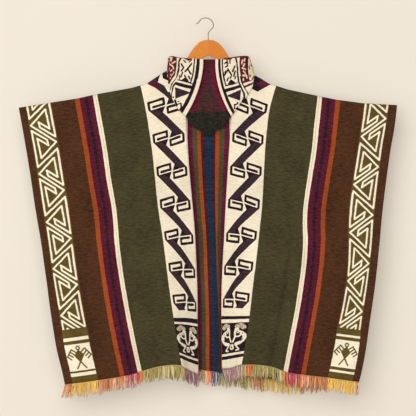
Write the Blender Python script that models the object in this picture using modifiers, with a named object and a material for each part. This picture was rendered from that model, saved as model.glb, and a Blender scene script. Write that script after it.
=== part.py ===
"""A hooded Andean poncho of handwoven cloth, open down the front, hung on a wooden hanger.

Metres, +Z up. The origin is the inner top of the hanger's hook, where a rail bears.
+X is the right side seen from the front, and the front faces -Y.
Tables are in millimetres: a drop is measured down from the origin, a side outwards from the
garment's mid line, and a depth along +Y.
"""

import bisect
import math
import random

import bmesh
import bpy

MM = 0.001

# Cloth
WALL = 2.2          # thickness of the handwoven cloth
EDGE_GAP = 0.45     # half of the gap between front and back along the shoulder
MID_LINE = 9.7      # the garment's mid line, to the right of the hook's inner top
FOLD_RADIUS = 8.5   # of the cloth's mid surface, where it goes over the hanger's arm
FRONT_FLARE = 14.0  # how far the fronts swing forward at the hem
BACK_FLARE = 22.0   # how far the back swings out at the hem
BACK_INSET = 3.0    # how far the back's outer edges hang inside those of the fronts
INSET_SPEED = 8     # that inset is whole after one part in this many of the length
EVEN_FROM = 0.35    # share of the length below which the back's cloth is spread evenly
USUAL_LENGTH = 870  # of a panel's column, from which the rows are shared out
HALF_WIDTH = 496.0  # cloth of one front, outer edge to slit edge
STRIPES_HALF = 64.5  # half of the centre stripes, which the back keeps whole
MIDDLE_PINCH = 0.1   # share of that half that draws in on the way down
BAND_BEND = 1.4      # how sharply the band turns in: the power of the share across it
BACK_WIDTH = 2 * (HALF_WIDTH + STRIPES_HALF)

# Lines of the cloth that hang from the shoulder: how much cloth is outside each of them
LINES = (0.0, 232.0, 380.0, 438.0, 496.0)  # outer edge, cream stripe, band, its middle, slit

# Drop, then the side of each of those lines at that drop
LEFT_LINES = (
    (162, 620, 376, 224, 147, 80),
    (280, 595, 357, 197, 132, 73),
    (413, 571, 333, 176, 120, 62),
    (505, 556, 320, 166, 110, 55),
    (592, 543, 304, 157, 101, 48),
    (650, 533, 298, 148, 94, 44),
    (696, 525, 295, 141, 89, 41),
    (765, 515, 287, 132, 81, 38),
    (843, 504, 275, 122, 73, 35),
    (905, 496, 264, 113, 67, 34),
    (963, 487, 253, 104, 62, 34),
    (1035, 475, 238, 92, 57, 33),
    (1104, 458, 223, 80, 52, 32),
    (1151, 448, 214, 73, 50, 32),
)
RIGHT_LINES = (
    (162, 602, 363, 228, 138, 87),
    (272, 592, 355, 194, 128, 76),
    (345, 583, 347, 183, 124, 70),
    (413, 571, 340, 177, 120, 65),
    (505, 558, 325, 172, 115, 59),
    (592, 547, 312, 167, 109, 54),
    (650, 541, 310, 161, 103, 51),
    (696, 537, 312, 156, 98, 49),
    (765, 530, 308, 148, 91, 45),
    (843, 521, 298, 138, 84, 42),
    (905, 512, 288, 131, 79, 41),
    (963, 503, 277, 124, 74, 41),
    (1035, 493, 263, 112, 70, 42),
    (1104, 480, 250, 100, 66, 43),
    (1151, 468, 242, 94, 63, 43),
)

# Across the cloth from the outer edge, then the drop of the shoulder line there. Past the neck
# point the line is only the one that the weave would follow if the neck weren't cut away.
LEFT_SHOULDER = ((0, 280), (185, 251), (243, 238), (351, 218), (380, 210), (397, 204),
                 (438, 173), (455, 162), (496, 146))
RIGHT_SHOULDER = ((0, 272), (106, 266), (187, 255), (241, 244), (339, 223), (380, 211),
                  (397, 205), (432, 178), (449, 165), (496, 146))
# Across, then the drop of the hem
LEFT_HEM = ((0, 1147), (103, 1134), (176, 1123), (231, 1110), (273, 1098), (322, 1088),
            (368, 1085), (397, 1094), (438, 1103), (496, 1118))
RIGHT_HEM = ((0, 1139), (93, 1127), (228, 1109), (297, 1089), (380, 1084), (438, 1096),
             (496, 1099))
BACK_HEM = ((0, 1138), (103, 1128), (231, 1106), (322, 1090), (380, 1092), (560, 1112),
            (741, 1128), (860, 1142), (940, 1136), (1028, 1124), (1121, 1136))
# Across, then the length that the neck cuts away from the shoulder line down
LEFT_NECK = ((450, 0), (452, 5), (455, 14), (462, 72), (475, 113), (496, 157))
RIGHT_NECK = ((434, 0), (436, 5), (440, 14), (452, 60), (468, 98), (496, 157))
LEFT_BACK_NECK = ((450, 0), (452, 5), (456, 14), (470, 26), (496, 44), (561, 50))
RIGHT_BACK_NECK = ((434, 0), (436, 5), (440, 14), (456, 28), (496, 44), (561, 50))
# Share of the length, then how far the slit edge turns in towards the back
LEFT_TURN = ((0, 0), (0.3, 3), (0.5, 11), (0.7, 24), (1, 38))
RIGHT_TURN = ((0, 0), (0.3, 2), (0.5, 8), (0.7, 18), (1, 30))
# Drop, then how far the centre stripes have swung to the right
MID_SWING = ((160, 0), (420, 0), (602, 10), (765, 17), (884, 19), (966, 22), (1150, 26))

# Soft folds: across, half width, how far each stands out of the garment, share where it starts
LEFT_FOLDS = ((50, 34, 7, 0.35), (140, 40, -6, 0.30), (205, 26, 6, 0.55), (300, 38, -5, 0.35),
              (378, 30, 12, 0.35))
RIGHT_FOLDS = ((40, 30, 6, 0.40), (115, 36, -6, 0.35), (215, 32, 8, 0.45), (281, 16, -7, 0.55),
               (376, 34, 12, 0.35))
BACK_FOLDS = ((70, 40, 9, 0.30), (190, 46, 11, 0.25), (330, 50, 13, 0.20), (470, 44, 15, 0.25),
              (640, 46, 16, 0.20), (790, 46, 13, 0.25), (930, 44, 11, 0.30), (1050, 38, 9, 0.35))

# Where the grids have their columns, across the cloth
LEFT_COLUMNS = (0, 48, 98, 140, 175, 205, 240, 270, 300, 330, 362, 380, 397, 418, 438, 450,
                452, 455, 462, 475, 496)
RIGHT_COLUMNS = (0, 48, 98, 140, 175, 212, 241, 262, 281, 300, 330, 362, 380, 397, 416, 434,
                 436, 440, 452, 468, 496)
BACK_LEFT_COLUMNS = (0, 48, 98, 150, 200, 240, 290, 335, 380, 397, 418, 438, 450, 452, 456, 470,
                     496, 530)
BACK_RIGHT_COLUMNS = (0, 48, 98, 150, 200, 241, 290, 335, 380, 397, 416, 434, 436, 440, 456, 475,
                      496, 530)
FOLD_ROWS = 3       # rows over the shoulder's fold
HANG_ROWS = 15      # rows below it

# Hood. A row for each column of a side, from the border round to the back: side, drop and depth
# of the top edge, the same at the neck seam, and how far the line between them bows outwards
HOOD_LEFT = (
    (16, 128, -14.0, 72, 308, -13.4, -14),
    (28, 128, -14.4, 76, 302, -13.8, -12),
    (40, 127, -14.6, 82, 294, -14.0, -8),
    (64, 126, -14.6, 97, 268, -14.2, 0),
    (90, 124, -14.4, 115, 250, -14.0, 4),
    (109, 119.5, -14.0, 121, 228, -13.6, 2),
    (119, 119, -12.8, 126, 205, -13.4, 3),
    (123.4, 120, -9.6, 128, 171, -12.4, 3),
    (125.4, 121.5, -5.0, 129.4, 165.0, -7.4, 2),
    (126, 122, 0.0, 130, 162.0, 0.0, 2),
    (125.4, 121.5, 5.0, 129.4, 165.0, 7.4, 2),
    (123.4, 120.5, 10.0, 128, 171, 12.4, 1),
    (118, 121, 13.4, 124, 182, 12.6, 0),
    (104, 121, 14.0, 104, 192, 12.4, 0),
    (84, 122, 14.4, 82, 197, 12.4, 0),
)
HOOD_RIGHT = (
    (22, 128, -14.0, 72, 308, -13.4, -14),
    (33, 128, -14.4, 77, 302, -13.8, -12),
    (44, 127, -14.6, 83, 294, -14.0, -8),
    (66, 124, -14.6, 99, 268, -14.2, 0),
    (90, 120, -14.4, 118, 250, -14.0, -3),
    (110, 118, -14.0, 131, 230, -13.6, -2),
    (121, 118, -12.8, 139, 214, -13.4, 2),
    (126.4, 119, -9.6, 143, 185, -12.4, 3),
    (128.6, 120.5, -5.0, 144.4, 178.5, -7.4, 3),
    (129.4, 121, 0.0, 145, 176.0, 0.0, 3),
    (128.6, 120.5, 5.0, 144.4, 178.5, 7.4, 3),
    (126.4, 119.5, 10.0, 142, 185, 12.4, 2),
    (120, 120, 13.4, 134, 190, 12.6, 0),
    (106, 120, 14.0, 108, 195, 12.4, 0),
    (84, 121, 14.4, 82, 198, 12.4, 0),
)
HOOD_ROWS = 7         # rows between the neck seam and the top edge
TURN_RADIUS = 2.4     # of the fold along the hood's top edge
TURN_LENGTH = 12.0    # cloth that is turned in below it
# Centre of the hood, from the tip that sags inside, over the top, to the crown that hangs
# behind: drop, depth, half width
HOOD_CENTRE = (
    (368, 3.4, 5), (358, 2.4, 20), (345, 1.4, 40), (328, 0.4, 58), (308, 0.0, 70),
    (280, 1.0, 74),
    (240, 2.6, 75), (205, 4.0, 75), (185, 5.2, 75), (166, 7.6, 75), (147, 8.6, 75),
    (134, 9.6, 74),
    (128.6, 13.8, 76), (133, 18.6, 88), (150, 20.4, 108), (185, 22.0, 121), (230, 26.5, 127),
    (280, 31.0, 126), (325, 33.0, 116), (358, 31.5, 96), (378, 27.0, 66), (386, 22.5, 34),
)
CENTRE_COLUMNS = 8
CROWN_CURL = 6.0      # how far the crown's sides curl in towards the back
CROWN_DEPTH = 19      # depth behind which the curl starts, and the depth over which it grows
CURL_REACH = 8

# Fringe: strands, cloth strip that holds them, and their length
FRINGE_STRANDS = {"front": 44, "back": 76}
FRINGE_STRIP = 5.0
FRINGE_WALL = 1.8
FRINGE_GAP = 0.45
FRINGE_LENGTH = (36.0, 44.0)
FRINGE_TIP = 0.45     # share of the root's size
FRINGE_LEAN = 2.4
FRINGE_FLARE = 12.0   # how far the strands at the garment's outer edges lean outwards
FLARE_POWER = 20      # how close to those edges they start to lean

# Hanger
WOOD_THICK = 12.0
WOOD_ROUND = 3.6
# Side and drop round the right half, from the top of the arch out and back under the arm
WOOD_OUTLINE = ((0, 67.4), (12, 68.8), (22, 72), (31, 77), (38, 84), (46, 93), (54, 104),
                (64, 121), (80, 137), (100, 154), (129, 177), (160, 198), (190, 217),
                (202, 225), (207, 232), (206, 241), (198, 246), (150, 219), (105, 186),
                (60, 152), (24, 129.5), (10, 120.3), (0, 116))
WIRE_RADIUS = 1.9
HOOK_RADIUS = 26.0     # of the wire's centre line
HOOK_START_ANGLE = 118  # degrees, counter-clockwise from +X
HOOK_END_ANGLE = 14
WIRE_STEPS = 10        # of the wire between those two
# The wire's end, to the left of the origin and down
HOOK_TIP = ((-29.5, 16.2), (-23.8, 14.8), (-19.4, 10.4), (-16.0, 5.2))
# Side and drop of the wire from the round of the hook down to the wood
SHAFT = ((15.8, 22.0), (14.0, 27.2), (9.8, 32.6), (4.6, 38.0), (0.8, 43.2), (-0.6, 49.0),
         (-0.6, 67.0))

COLOURS = {
    "cloth_green": (0.056, 0.052, 0.024),
    "hood_maroon": (0.10, 0.010, 0.030),
    "fringe_gold": (0.75, 0.46, 0.16),
    "wood": (0.72, 0.29, 0.08),
    "steel": (0.56, 0.55, 0.54),
}


def smooth(t):
    """0 up to 0, 1 from 1, and soft in between."""
    t = min(1.0, max(0.0, t))
    return t * t * (3 - 2 * t)


def read(table, key, column=1):
    """The table's value at key, straight between its rows and past their ends."""
    keys = [row[0] for row in table]
    i = min(max(bisect.bisect_right(keys, key) - 1, 0), len(keys) - 2)
    low, high = table[i], table[i + 1]
    share = (key - low[0]) / (high[0] - low[0])
    return low[column] + (high[column] - low[column]) * share


def soft_read(table, key, column=1):
    """The same with its corners rounded: a cubic whose slopes come from the rows around."""
    last = len(table) - 1
    keys = [row[0] for row in table]
    i = min(max(bisect.bisect_right(keys, key) - 1, 0), last - 1)
    if key <= keys[0] or key >= keys[last]:
        return read(table, key, column)

    def slope(j):
        a, b = table[max(j - 1, 0)], table[min(j + 1, last)]
        return (b[column] - a[column]) / (b[0] - a[0])

    span = keys[i + 1] - keys[i]
    t = (key - keys[i]) / span
    low, high = table[i][column], table[i + 1][column]
    return (low * (1 + 2 * t) * (1 - t) ** 2 + high * t * t * (3 - 2 * t)
            + slope(i) * span * t * (1 - t) ** 2 - slope(i + 1) * span * t * t * (1 - t))


def place(sign, side, depth, drop):
    """A point in metres, from its side, depth and drop."""
    return ((MID_LINE + sign * side) * MM, depth * MM, -drop * MM)


def line_side(lines, across, drop):
    """How far out the cloth hangs at this drop, with this much cloth outside it."""
    sides = [soft_read(lines, drop, column + 1) for column in range(len(LINES))]
    return read(list(zip(LINES, sides)), across)


def fold_depth(length):
    """Over the shoulder: how far the cloth has gone forward and down after this much of it."""
    angle = min(length / FOLD_RADIUS, math.pi / 2)
    past = max(0.0, length - FOLD_RADIUS * math.pi / 2)
    return FOLD_RADIUS * math.sin(angle), FOLD_RADIUS * (1 - math.cos(angle)) + past


def fold_sum(folds, across, share):
    """How far the soft folds push the cloth out of the garment here."""
    total = 0.0
    for centre, half, height, start in folds:
        bump = math.exp(-(((across - centre) / half) ** 2))
        total += height * bump * smooth((share - start) / (1 - start))
    return total


def hang(top, cut, hem, share):
    """Drop, forward push and share of the whole length, at a share of what the neck leaves.

    top is the drop of the shoulder line and cut the length that the neck takes below it.
    """
    length = hem - top - WALL / 2 + FOLD_RADIUS * (math.pi / 2 - 1)
    at = cut + (length - cut) * share
    forward, down = fold_depth(at)
    return top + WALL / 2 + down, forward, at / length


def front_point(sign, across, share):
    lines = LEFT_LINES if sign < 0 else RIGHT_LINES
    top = read(LEFT_SHOULDER if sign < 0 else RIGHT_SHOULDER, across)
    hem = soft_read(LEFT_HEM if sign < 0 else RIGHT_HEM, across)
    cut = max(0.0, read(LEFT_NECK if sign < 0 else RIGHT_NECK, across))
    drop, forward, whole = hang(top, cut, hem, share)
    folds = LEFT_FOLDS if sign < 0 else RIGHT_FOLDS
    turn = read(LEFT_TURN if sign < 0 else RIGHT_TURN, whole)
    band = max(0.0, (across - LINES[2]) / (LINES[4] - LINES[2]))
    depth = -EDGE_GAP - forward - FRONT_FLARE * smooth(whole)
    depth += -fold_sum(folds, across, whole) + turn * band ** BAND_BEND
    return place(sign, line_side(lines, across, drop), depth, drop)


def back_point(across, share):
    sign = -1 if across < BACK_WIDTH / 2 else 1
    half = min(across, BACK_WIDTH - across)
    lines = LEFT_LINES if sign < 0 else RIGHT_LINES
    top = read(LEFT_SHOULDER if sign < 0 else RIGHT_SHOULDER, min(half, LINES[4]))
    cut = max(0.0, read(LEFT_BACK_NECK if sign < 0 else RIGHT_BACK_NECK, half))
    hem = soft_read(BACK_HEM, across)
    drop, backward, whole = hang(top, cut, hem, share)
    outer = line_side(lines, 0, drop) - BACK_INSET * smooth(whole * INSET_SPEED)
    swing = sign * soft_read(MID_SWING, drop)
    inner = STRIPES_HALF * (1 - MIDDLE_PINCH * whole) + swing
    if half <= HALF_WIDTH:
        even = outer + (inner - outer) * half / HALF_WIDTH
        blend = smooth(whole / EVEN_FROM)
        side = line_side(lines, half, drop) * (1 - blend) + even * blend
        start = smooth((half - LINES[3]) / (HALF_WIDTH - LINES[3]))
        side += (even - side) * start
    else:
        side = swing + (inner - swing) * (BACK_WIDTH / 2 - half) / STRIPES_HALF
    depth = EDGE_GAP + backward + BACK_FLARE * smooth(whole)
    return place(sign, side, depth + fold_sum(BACK_FOLDS, across, whole), drop)


def cloth_shares(length):
    """Shares of a column's length: close over the shoulder's fold, then even to the hem."""
    fold = FOLD_RADIUS * math.pi / 2 / length
    rows = [fold * i / FOLD_ROWS for i in range(FOLD_ROWS)]
    return rows + [fold + (1 - fold) * i / HANG_ROWS for i in range(HANG_ROWS + 1)]


def new_material(name, colour, rough=0.9, metallic=0.0):
    material = bpy.data.materials.new(name)
    material.use_nodes = True
    shader = material.node_tree.nodes["Principled BSDF"]
    shader.inputs["Base Color"].default_value = (*colour, 1)
    shader.inputs["Roughness"].default_value = rough
    shader.inputs["Metallic"].default_value = metallic
    return material


def adopt(obj, name, material):
    """Names an object, gives it its material and moves it to the part's collection."""
    obj.name = name
    obj.data.name = name
    obj.data.materials.clear()
    obj.data.materials.append(material)
    for holder in list(obj.users_collection):
        holder.objects.unlink(obj)
    parts.objects.link(obj)
    return obj


def sheet(name, columns, rows, point, material, wall=WALL):
    """A sheet of cloth: a grid whose points are placed by point(column, row), given a wall."""
    bpy.ops.mesh.primitive_grid_add(x_subdivisions=columns - 1, y_subdivisions=rows - 1)
    obj = adopt(bpy.context.object, name, material)
    for index, vertex in enumerate(obj.data.vertices):
        vertex.co = point(index % columns, index // columns)
    solid = obj.modifiers.new("wall", "SOLIDIFY")
    solid.thickness = wall * MM
    solid.offset = 0
    return obj


def make_front(name, sign, columns, material):
    shares = cloth_shares(USUAL_LENGTH)

    def point(column, row):
        return front_point(sign, columns[column], shares[row])

    return sheet(name, len(columns), len(shares), point, material)


def make_back(columns, material):
    shares = cloth_shares(USUAL_LENGTH)

    def point(column, row):
        return back_point(columns[column], shares[row])

    return sheet("back", len(columns), len(shares), point, material)


def make_hood_side(name, sign, table, material):
    """A side of the hood: up from the neck seam, round a fold and a little way down inside."""
    turn = [math.pi * i / 3 for i in range(4)]
    rows = HOOD_ROWS + len(turn) + 1

    def point(column, row):
        top_side, top_drop, top_depth, side, drop, depth, bow = table[column]
        low, high = table[max(column - 1, 0)], table[min(column + 1, len(table) - 1)]
        run = math.hypot(high[0] - low[0], high[2] - low[2])
        inward = (-(high[2] - low[2]) / run, (high[0] - low[0]) / run)
        crest = top_drop + WALL / 2 + TURN_RADIUS
        if row < HOOD_ROWS:
            share = row / HOOD_ROWS
            bulge = bow * 4 * share * (1 - share)
            return place(sign, side + (top_side - side) * share + bulge,
                         depth + (top_depth - depth) * share, drop + (crest - drop) * share)
        angle = turn[min(row - HOOD_ROWS, len(turn) - 1)]
        step = TURN_RADIUS * (1 - math.cos(angle))
        below = TURN_LENGTH if row == rows - 1 else 0
        return place(sign, top_side + inward[0] * step, top_depth + inward[1] * step,
                     crest - TURN_RADIUS * math.sin(angle) + below)

    return sheet(name, len(table), rows, point, material)


def make_hood_back(material):
    """The centre piece: a tongue over the top, whose hanging half curls in at its sides."""
    def point(column, row):
        drop, depth, half = HOOD_CENTRE[row]
        across = 2 * column / (CENTRE_COLUMNS - 1) - 1
        curl = CROWN_CURL * smooth((depth - CROWN_DEPTH) / CURL_REACH)
        return place(1, across * half, depth - curl * abs(across) ** 3, drop)

    return sheet("hood_back", CENTRE_COLUMNS, len(HOOD_CENTRE), point, material)


def even_stations(hem, count):
    """Points that are evenly spaced along the hem, whose own points are given."""
    table = [(0.0, *hem[0])]
    for point in hem[1:]:
        table.append((table[-1][0] + math.dist(table[-1][1:], point), *point))
    runs = [table[-1][0] * i / count for i in range(count + 1)]
    return [tuple(read(table, run, axis) for axis in (1, 2, 3)) for run in runs]


def make_fringe(name, hem, strands, seed, flares, material):
    """A narrow strip below the hem, with every other face of its lower edge drawn down.

    flares says how much of the flare the strands at the two ends of the hem have.
    """
    rng = random.Random(seed)
    cells = 2 * strands - 1
    stations = even_stations(hem, cells)

    def strip(column, row):
        x, y, z = stations[column]
        return (x, y, z - (FRINGE_GAP + row * FRINGE_STRIP) * MM)

    obj = sheet(name, cells + 1, 2, strip, material, FRINGE_WALL)
    graph = bpy.context.evaluated_depsgraph_get()
    walled = bpy.data.meshes.new_from_object(obj.evaluated_get(graph))
    obj.modifiers.clear()
    obj.data = walled
    obj.data.name = name
    mesh = bmesh.new()
    mesh.from_mesh(walled)
    low = sorted((f for f in mesh.faces if f.normal.z < -0.7),
                 key=lambda f: f.calc_center_median().x)
    drawn = bmesh.ops.extrude_discrete_faces(mesh, faces=low[::2])["faces"]
    drawn.sort(key=lambda f: f.calc_center_median().x)
    for i, face in enumerate(drawn):
        centre = face.calc_center_median()
        share = i / (strands - 1)
        flare = FRINGE_FLARE * (flares[1] * share ** FLARE_POWER
                                - flares[0] * (1 - share) ** FLARE_POWER)
        shift = (flare + rng.uniform(-FRINGE_LEAN, FRINGE_LEAN), rng.uniform(-1.5, 1.5),
                 -rng.uniform(*FRINGE_LENGTH))
        for vertex in face.verts:
            vertex.co = centre + (vertex.co - centre) * FRINGE_TIP
            vertex.co.x += shift[0] * MM
            vertex.co.y += shift[1] * MM
            vertex.co.z += shift[2] * MM
    mesh.to_mesh(walled)
    mesh.free()
    return obj


def make_wood(material):
    """The hanger's body: its outline filled and given its thickness, with rounded edges."""
    right = [place(1, side, 0, drop) for side, drop in WOOD_OUTLINE]
    left = [place(-1, side, 0, drop) for side, drop in reversed(WOOD_OUTLINE[1:-1])]
    outline = bpy.data.curves.new("hanger_outline", "CURVE")
    outline.dimensions = "2D"
    outline.fill_mode = "BOTH"
    outline.extrude = WOOD_THICK / 2 * MM
    spline = outline.splines.new("POLY")
    spline.points.add(len(right) + len(left) - 1)
    for target, (x, _, z) in zip(spline.points, right + left):
        target.co = (x, z, 0, 1)
    spline.use_cyclic_u = True
    obj = bpy.data.objects.new("hanger_wood", outline)
    bpy.context.scene.collection.objects.link(obj)
    obj.rotation_euler = (math.pi / 2, 0, 0)
    adopt(obj, "hanger_wood", material)
    weld = obj.modifiers.new("weld", "WELD")
    weld.merge_threshold = 0.0001
    bevel = obj.modifiers.new("round", "BEVEL")
    bevel.width = WOOD_ROUND * MM
    bevel.segments = 2
    bevel.angle_limit = math.radians(60)
    return obj


def make_hook(material):
    """The steel wire: most of a circle, an easy bend and a straight shaft into the wood."""
    points = [(side, -drop) for side, drop in HOOK_TIP]
    for i in range(WIRE_STEPS + 1):
        share = i / WIRE_STEPS
        turn = math.radians(HOOK_START_ANGLE * (1 - share) + HOOK_END_ANGLE * share)
        points.append((HOOK_RADIUS * math.cos(turn),
                       HOOK_RADIUS * math.sin(turn) - HOOK_RADIUS + WIRE_RADIUS))
    points += [(MID_LINE + side, -drop) for side, drop in SHAFT]
    curve = bpy.data.curves.new("hanger_hook", "CURVE")
    curve.dimensions = "3D"
    curve.bevel_depth = WIRE_RADIUS * MM
    curve.bevel_resolution = 2
    curve.use_fill_caps = True
    spline = curve.splines.new("POLY")
    spline.points.add(len(points) - 1)
    for target, (x, z) in zip(spline.points, points):
        target.co = (x * MM, 0, z * MM, 1)
    obj = bpy.data.objects.new("hanger_hook", curve)
    bpy.context.scene.collection.objects.link(obj)
    return adopt(obj, "hanger_hook", material)


for old in list(bpy.data.objects):
    bpy.data.objects.remove(old)
parts = bpy.data.collections.new("andean_poncho")
bpy.context.scene.collection.children.link(parts)

cloth = new_material("cloth_green", COLOURS["cloth_green"])
maroon = new_material("hood_maroon", COLOURS["hood_maroon"])
gold = new_material("fringe_gold", COLOURS["fringe_gold"])
wood = new_material("wood", COLOURS["wood"], rough=0.35)
steel = new_material("steel", COLOURS["steel"], rough=0.25, metallic=1.0)

back_columns = [*BACK_LEFT_COLUMNS, BACK_WIDTH / 2,
                *(BACK_WIDTH - across for across in reversed(BACK_RIGHT_COLUMNS))]
left_hem = [front_point(-1, across, 1.0) for across in LEFT_COLUMNS]
right_hem = [front_point(1, across, 1.0) for across in RIGHT_COLUMNS]
back_hem = [back_point(across, 1.0) for across in back_columns]

make_front("front_left", -1, LEFT_COLUMNS, cloth)
make_front("front_right", 1, RIGHT_COLUMNS, cloth)
make_back(back_columns, cloth)
make_hood_side("hood_left", -1, HOOD_LEFT, maroon)
make_hood_side("hood_right", 1, HOOD_RIGHT, maroon)
make_hood_back(maroon)
make_fringe("fringe_front_left", left_hem, FRINGE_STRANDS["front"], 11, (1, 0), gold)
make_fringe("fringe_front_right", right_hem, FRINGE_STRANDS["front"], 12, (0, 1), gold)
make_fringe("fringe_back", back_hem, FRINGE_STRANDS["back"], 13, (1, 1), gold)
make_wood(wood)
make_hook(steel)
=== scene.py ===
# %% [markdown]
# # A hooded Andean poncho on its wooden hanger
# A poncho like this is woven in strips on a treadle loom, with warp stripes and two kinds of
# figured band, then cut open down the front and given a hood. The frame holds its plain solids.
# Here each of them is dressed: the same cloth again as a fine mesh with its creases, its weave
# and its woven figures, and the yarn of its fringe strand by strand.

# %% Load the frame
import bisect
import math
import random

import bpy
import numpy as np
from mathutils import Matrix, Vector


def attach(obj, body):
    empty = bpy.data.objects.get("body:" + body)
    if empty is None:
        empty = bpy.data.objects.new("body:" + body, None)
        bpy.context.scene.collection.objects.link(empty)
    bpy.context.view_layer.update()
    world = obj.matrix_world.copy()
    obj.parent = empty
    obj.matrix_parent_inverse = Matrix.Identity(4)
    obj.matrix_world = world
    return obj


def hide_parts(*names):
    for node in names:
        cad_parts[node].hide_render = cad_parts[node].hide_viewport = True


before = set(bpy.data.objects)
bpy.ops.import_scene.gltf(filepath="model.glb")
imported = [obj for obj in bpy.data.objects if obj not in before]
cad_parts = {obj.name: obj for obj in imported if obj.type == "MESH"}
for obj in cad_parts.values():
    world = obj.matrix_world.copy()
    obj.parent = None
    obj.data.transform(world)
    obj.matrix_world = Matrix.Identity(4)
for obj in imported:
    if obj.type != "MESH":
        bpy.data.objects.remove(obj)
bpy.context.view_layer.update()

print("frame:", sorted(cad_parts))

# %% [markdown]
# ## Camera, light and a plain room
# The garment hangs flat, so one camera straight in front of it, far enough back to keep its
# lines true, shows the whole of it. The light is soft: a pale world, and one very wide lamp in
# front, a little above and to the left, that lays a soft shadow on the wall behind. A weaker lamp
# lights the back. The wall is seen only from its front, so that the back of the garment can be
# looked at too.

# %% Camera and light
CAMERA_AWAY = 6.0
VIEW_WIDTH = 1.3063
VIEW_CENTRE = (0.0085, -0.5953)     # across and up


def srgb(red, green, blue):
    """A colour as a dyer's chart gives it, 0 to 255, turned into the linear light of a shader."""
    return tuple((c / 255 / 12.92 if c < 11 else ((c / 255 + 0.055) / 1.055) ** 2.4)
                 for c in (red, green, blue))


eye = bpy.data.cameras.new("eye")
eye.sensor_width = 36
eye.lens = 36 * CAMERA_AWAY / VIEW_WIDTH
camera = bpy.data.objects.new("eye", eye)
camera.location = (VIEW_CENTRE[0], -CAMERA_AWAY, VIEW_CENTRE[1])
camera.rotation_euler = (math.pi / 2, 0, 0)
bpy.context.scene.collection.objects.link(camera)
bpy.context.scene.camera = camera
bpy.context.scene.view_settings.view_transform = "Standard"

room = bpy.data.worlds.new("room")
room.use_nodes = True
sky = room.node_tree.nodes["Background"]
sky.inputs["Color"].default_value = (*srgb(240, 232, 220), 1)
sky.inputs["Strength"].default_value = 0.24
bpy.context.scene.world = room


def add_lamp(name, at, aim, size, watts):
    """A soft round lamp that faces the point aim."""
    lamp = bpy.data.lights.new(name, "AREA")
    lamp.shape = "DISK"
    lamp.size = size
    lamp.energy = watts
    lamp.color = (1.0, 0.975, 0.94)
    holder = bpy.data.objects.new(name, lamp)
    holder.location = at
    holder.rotation_euler = (Vector(aim) - Vector(at)).to_track_quat("-Z", "Y").to_euler()
    holder.visible_camera = False
    bpy.context.scene.collection.objects.link(holder)


LAMP_AIM = (0, 0, -0.6)     # the middle of the garment
add_lamp("key", (-2.1, -9.0, 2.1), LAMP_AIM, 13.5, 1215)
add_lamp("back", (-1.5, 7.0, 1.6), LAMP_AIM, 6.0, 360)
print("camera", round(eye.lens, 1), "mm lens at", CAMERA_AWAY, "m")

# %% [markdown]
# ## Small helpers for the materials
# A woven cloth's colours are worked out by shader nodes, which would be long to write one by
# one. This little class adds them to a material: plain arithmetic, mixing of colours, a ramp of
# stripes, and the distance to a straight stroke, which is what the woven figures are drawn with.


# %% Material helpers
SLUB_SCALE, SLUB_WEAR = (0.09, 0.36, 1), 0.7        # thick places in a yarn
FLECK_SCALE, FLECK_WEAR = (0.05, 0.22, 1), 0.9      # fine light and dark yarns
CLOUD_SCALE, CLOUD_LIGHT_AND_WEAR = (0.014, 0.010, 1), 0.75   # wide patches: faded nap, and painted soft light and shade
FLECK_TINT = 0.034
PALE_HIDES = -0.6       # a pale yarn shows less of its wear and of the painted light and shade
WARP_STEP = 1.5
WEFT_STEP = 1.7
SLUB_HEIGHT = 2.4
WEAVE_DEPTH = 0.00045


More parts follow.
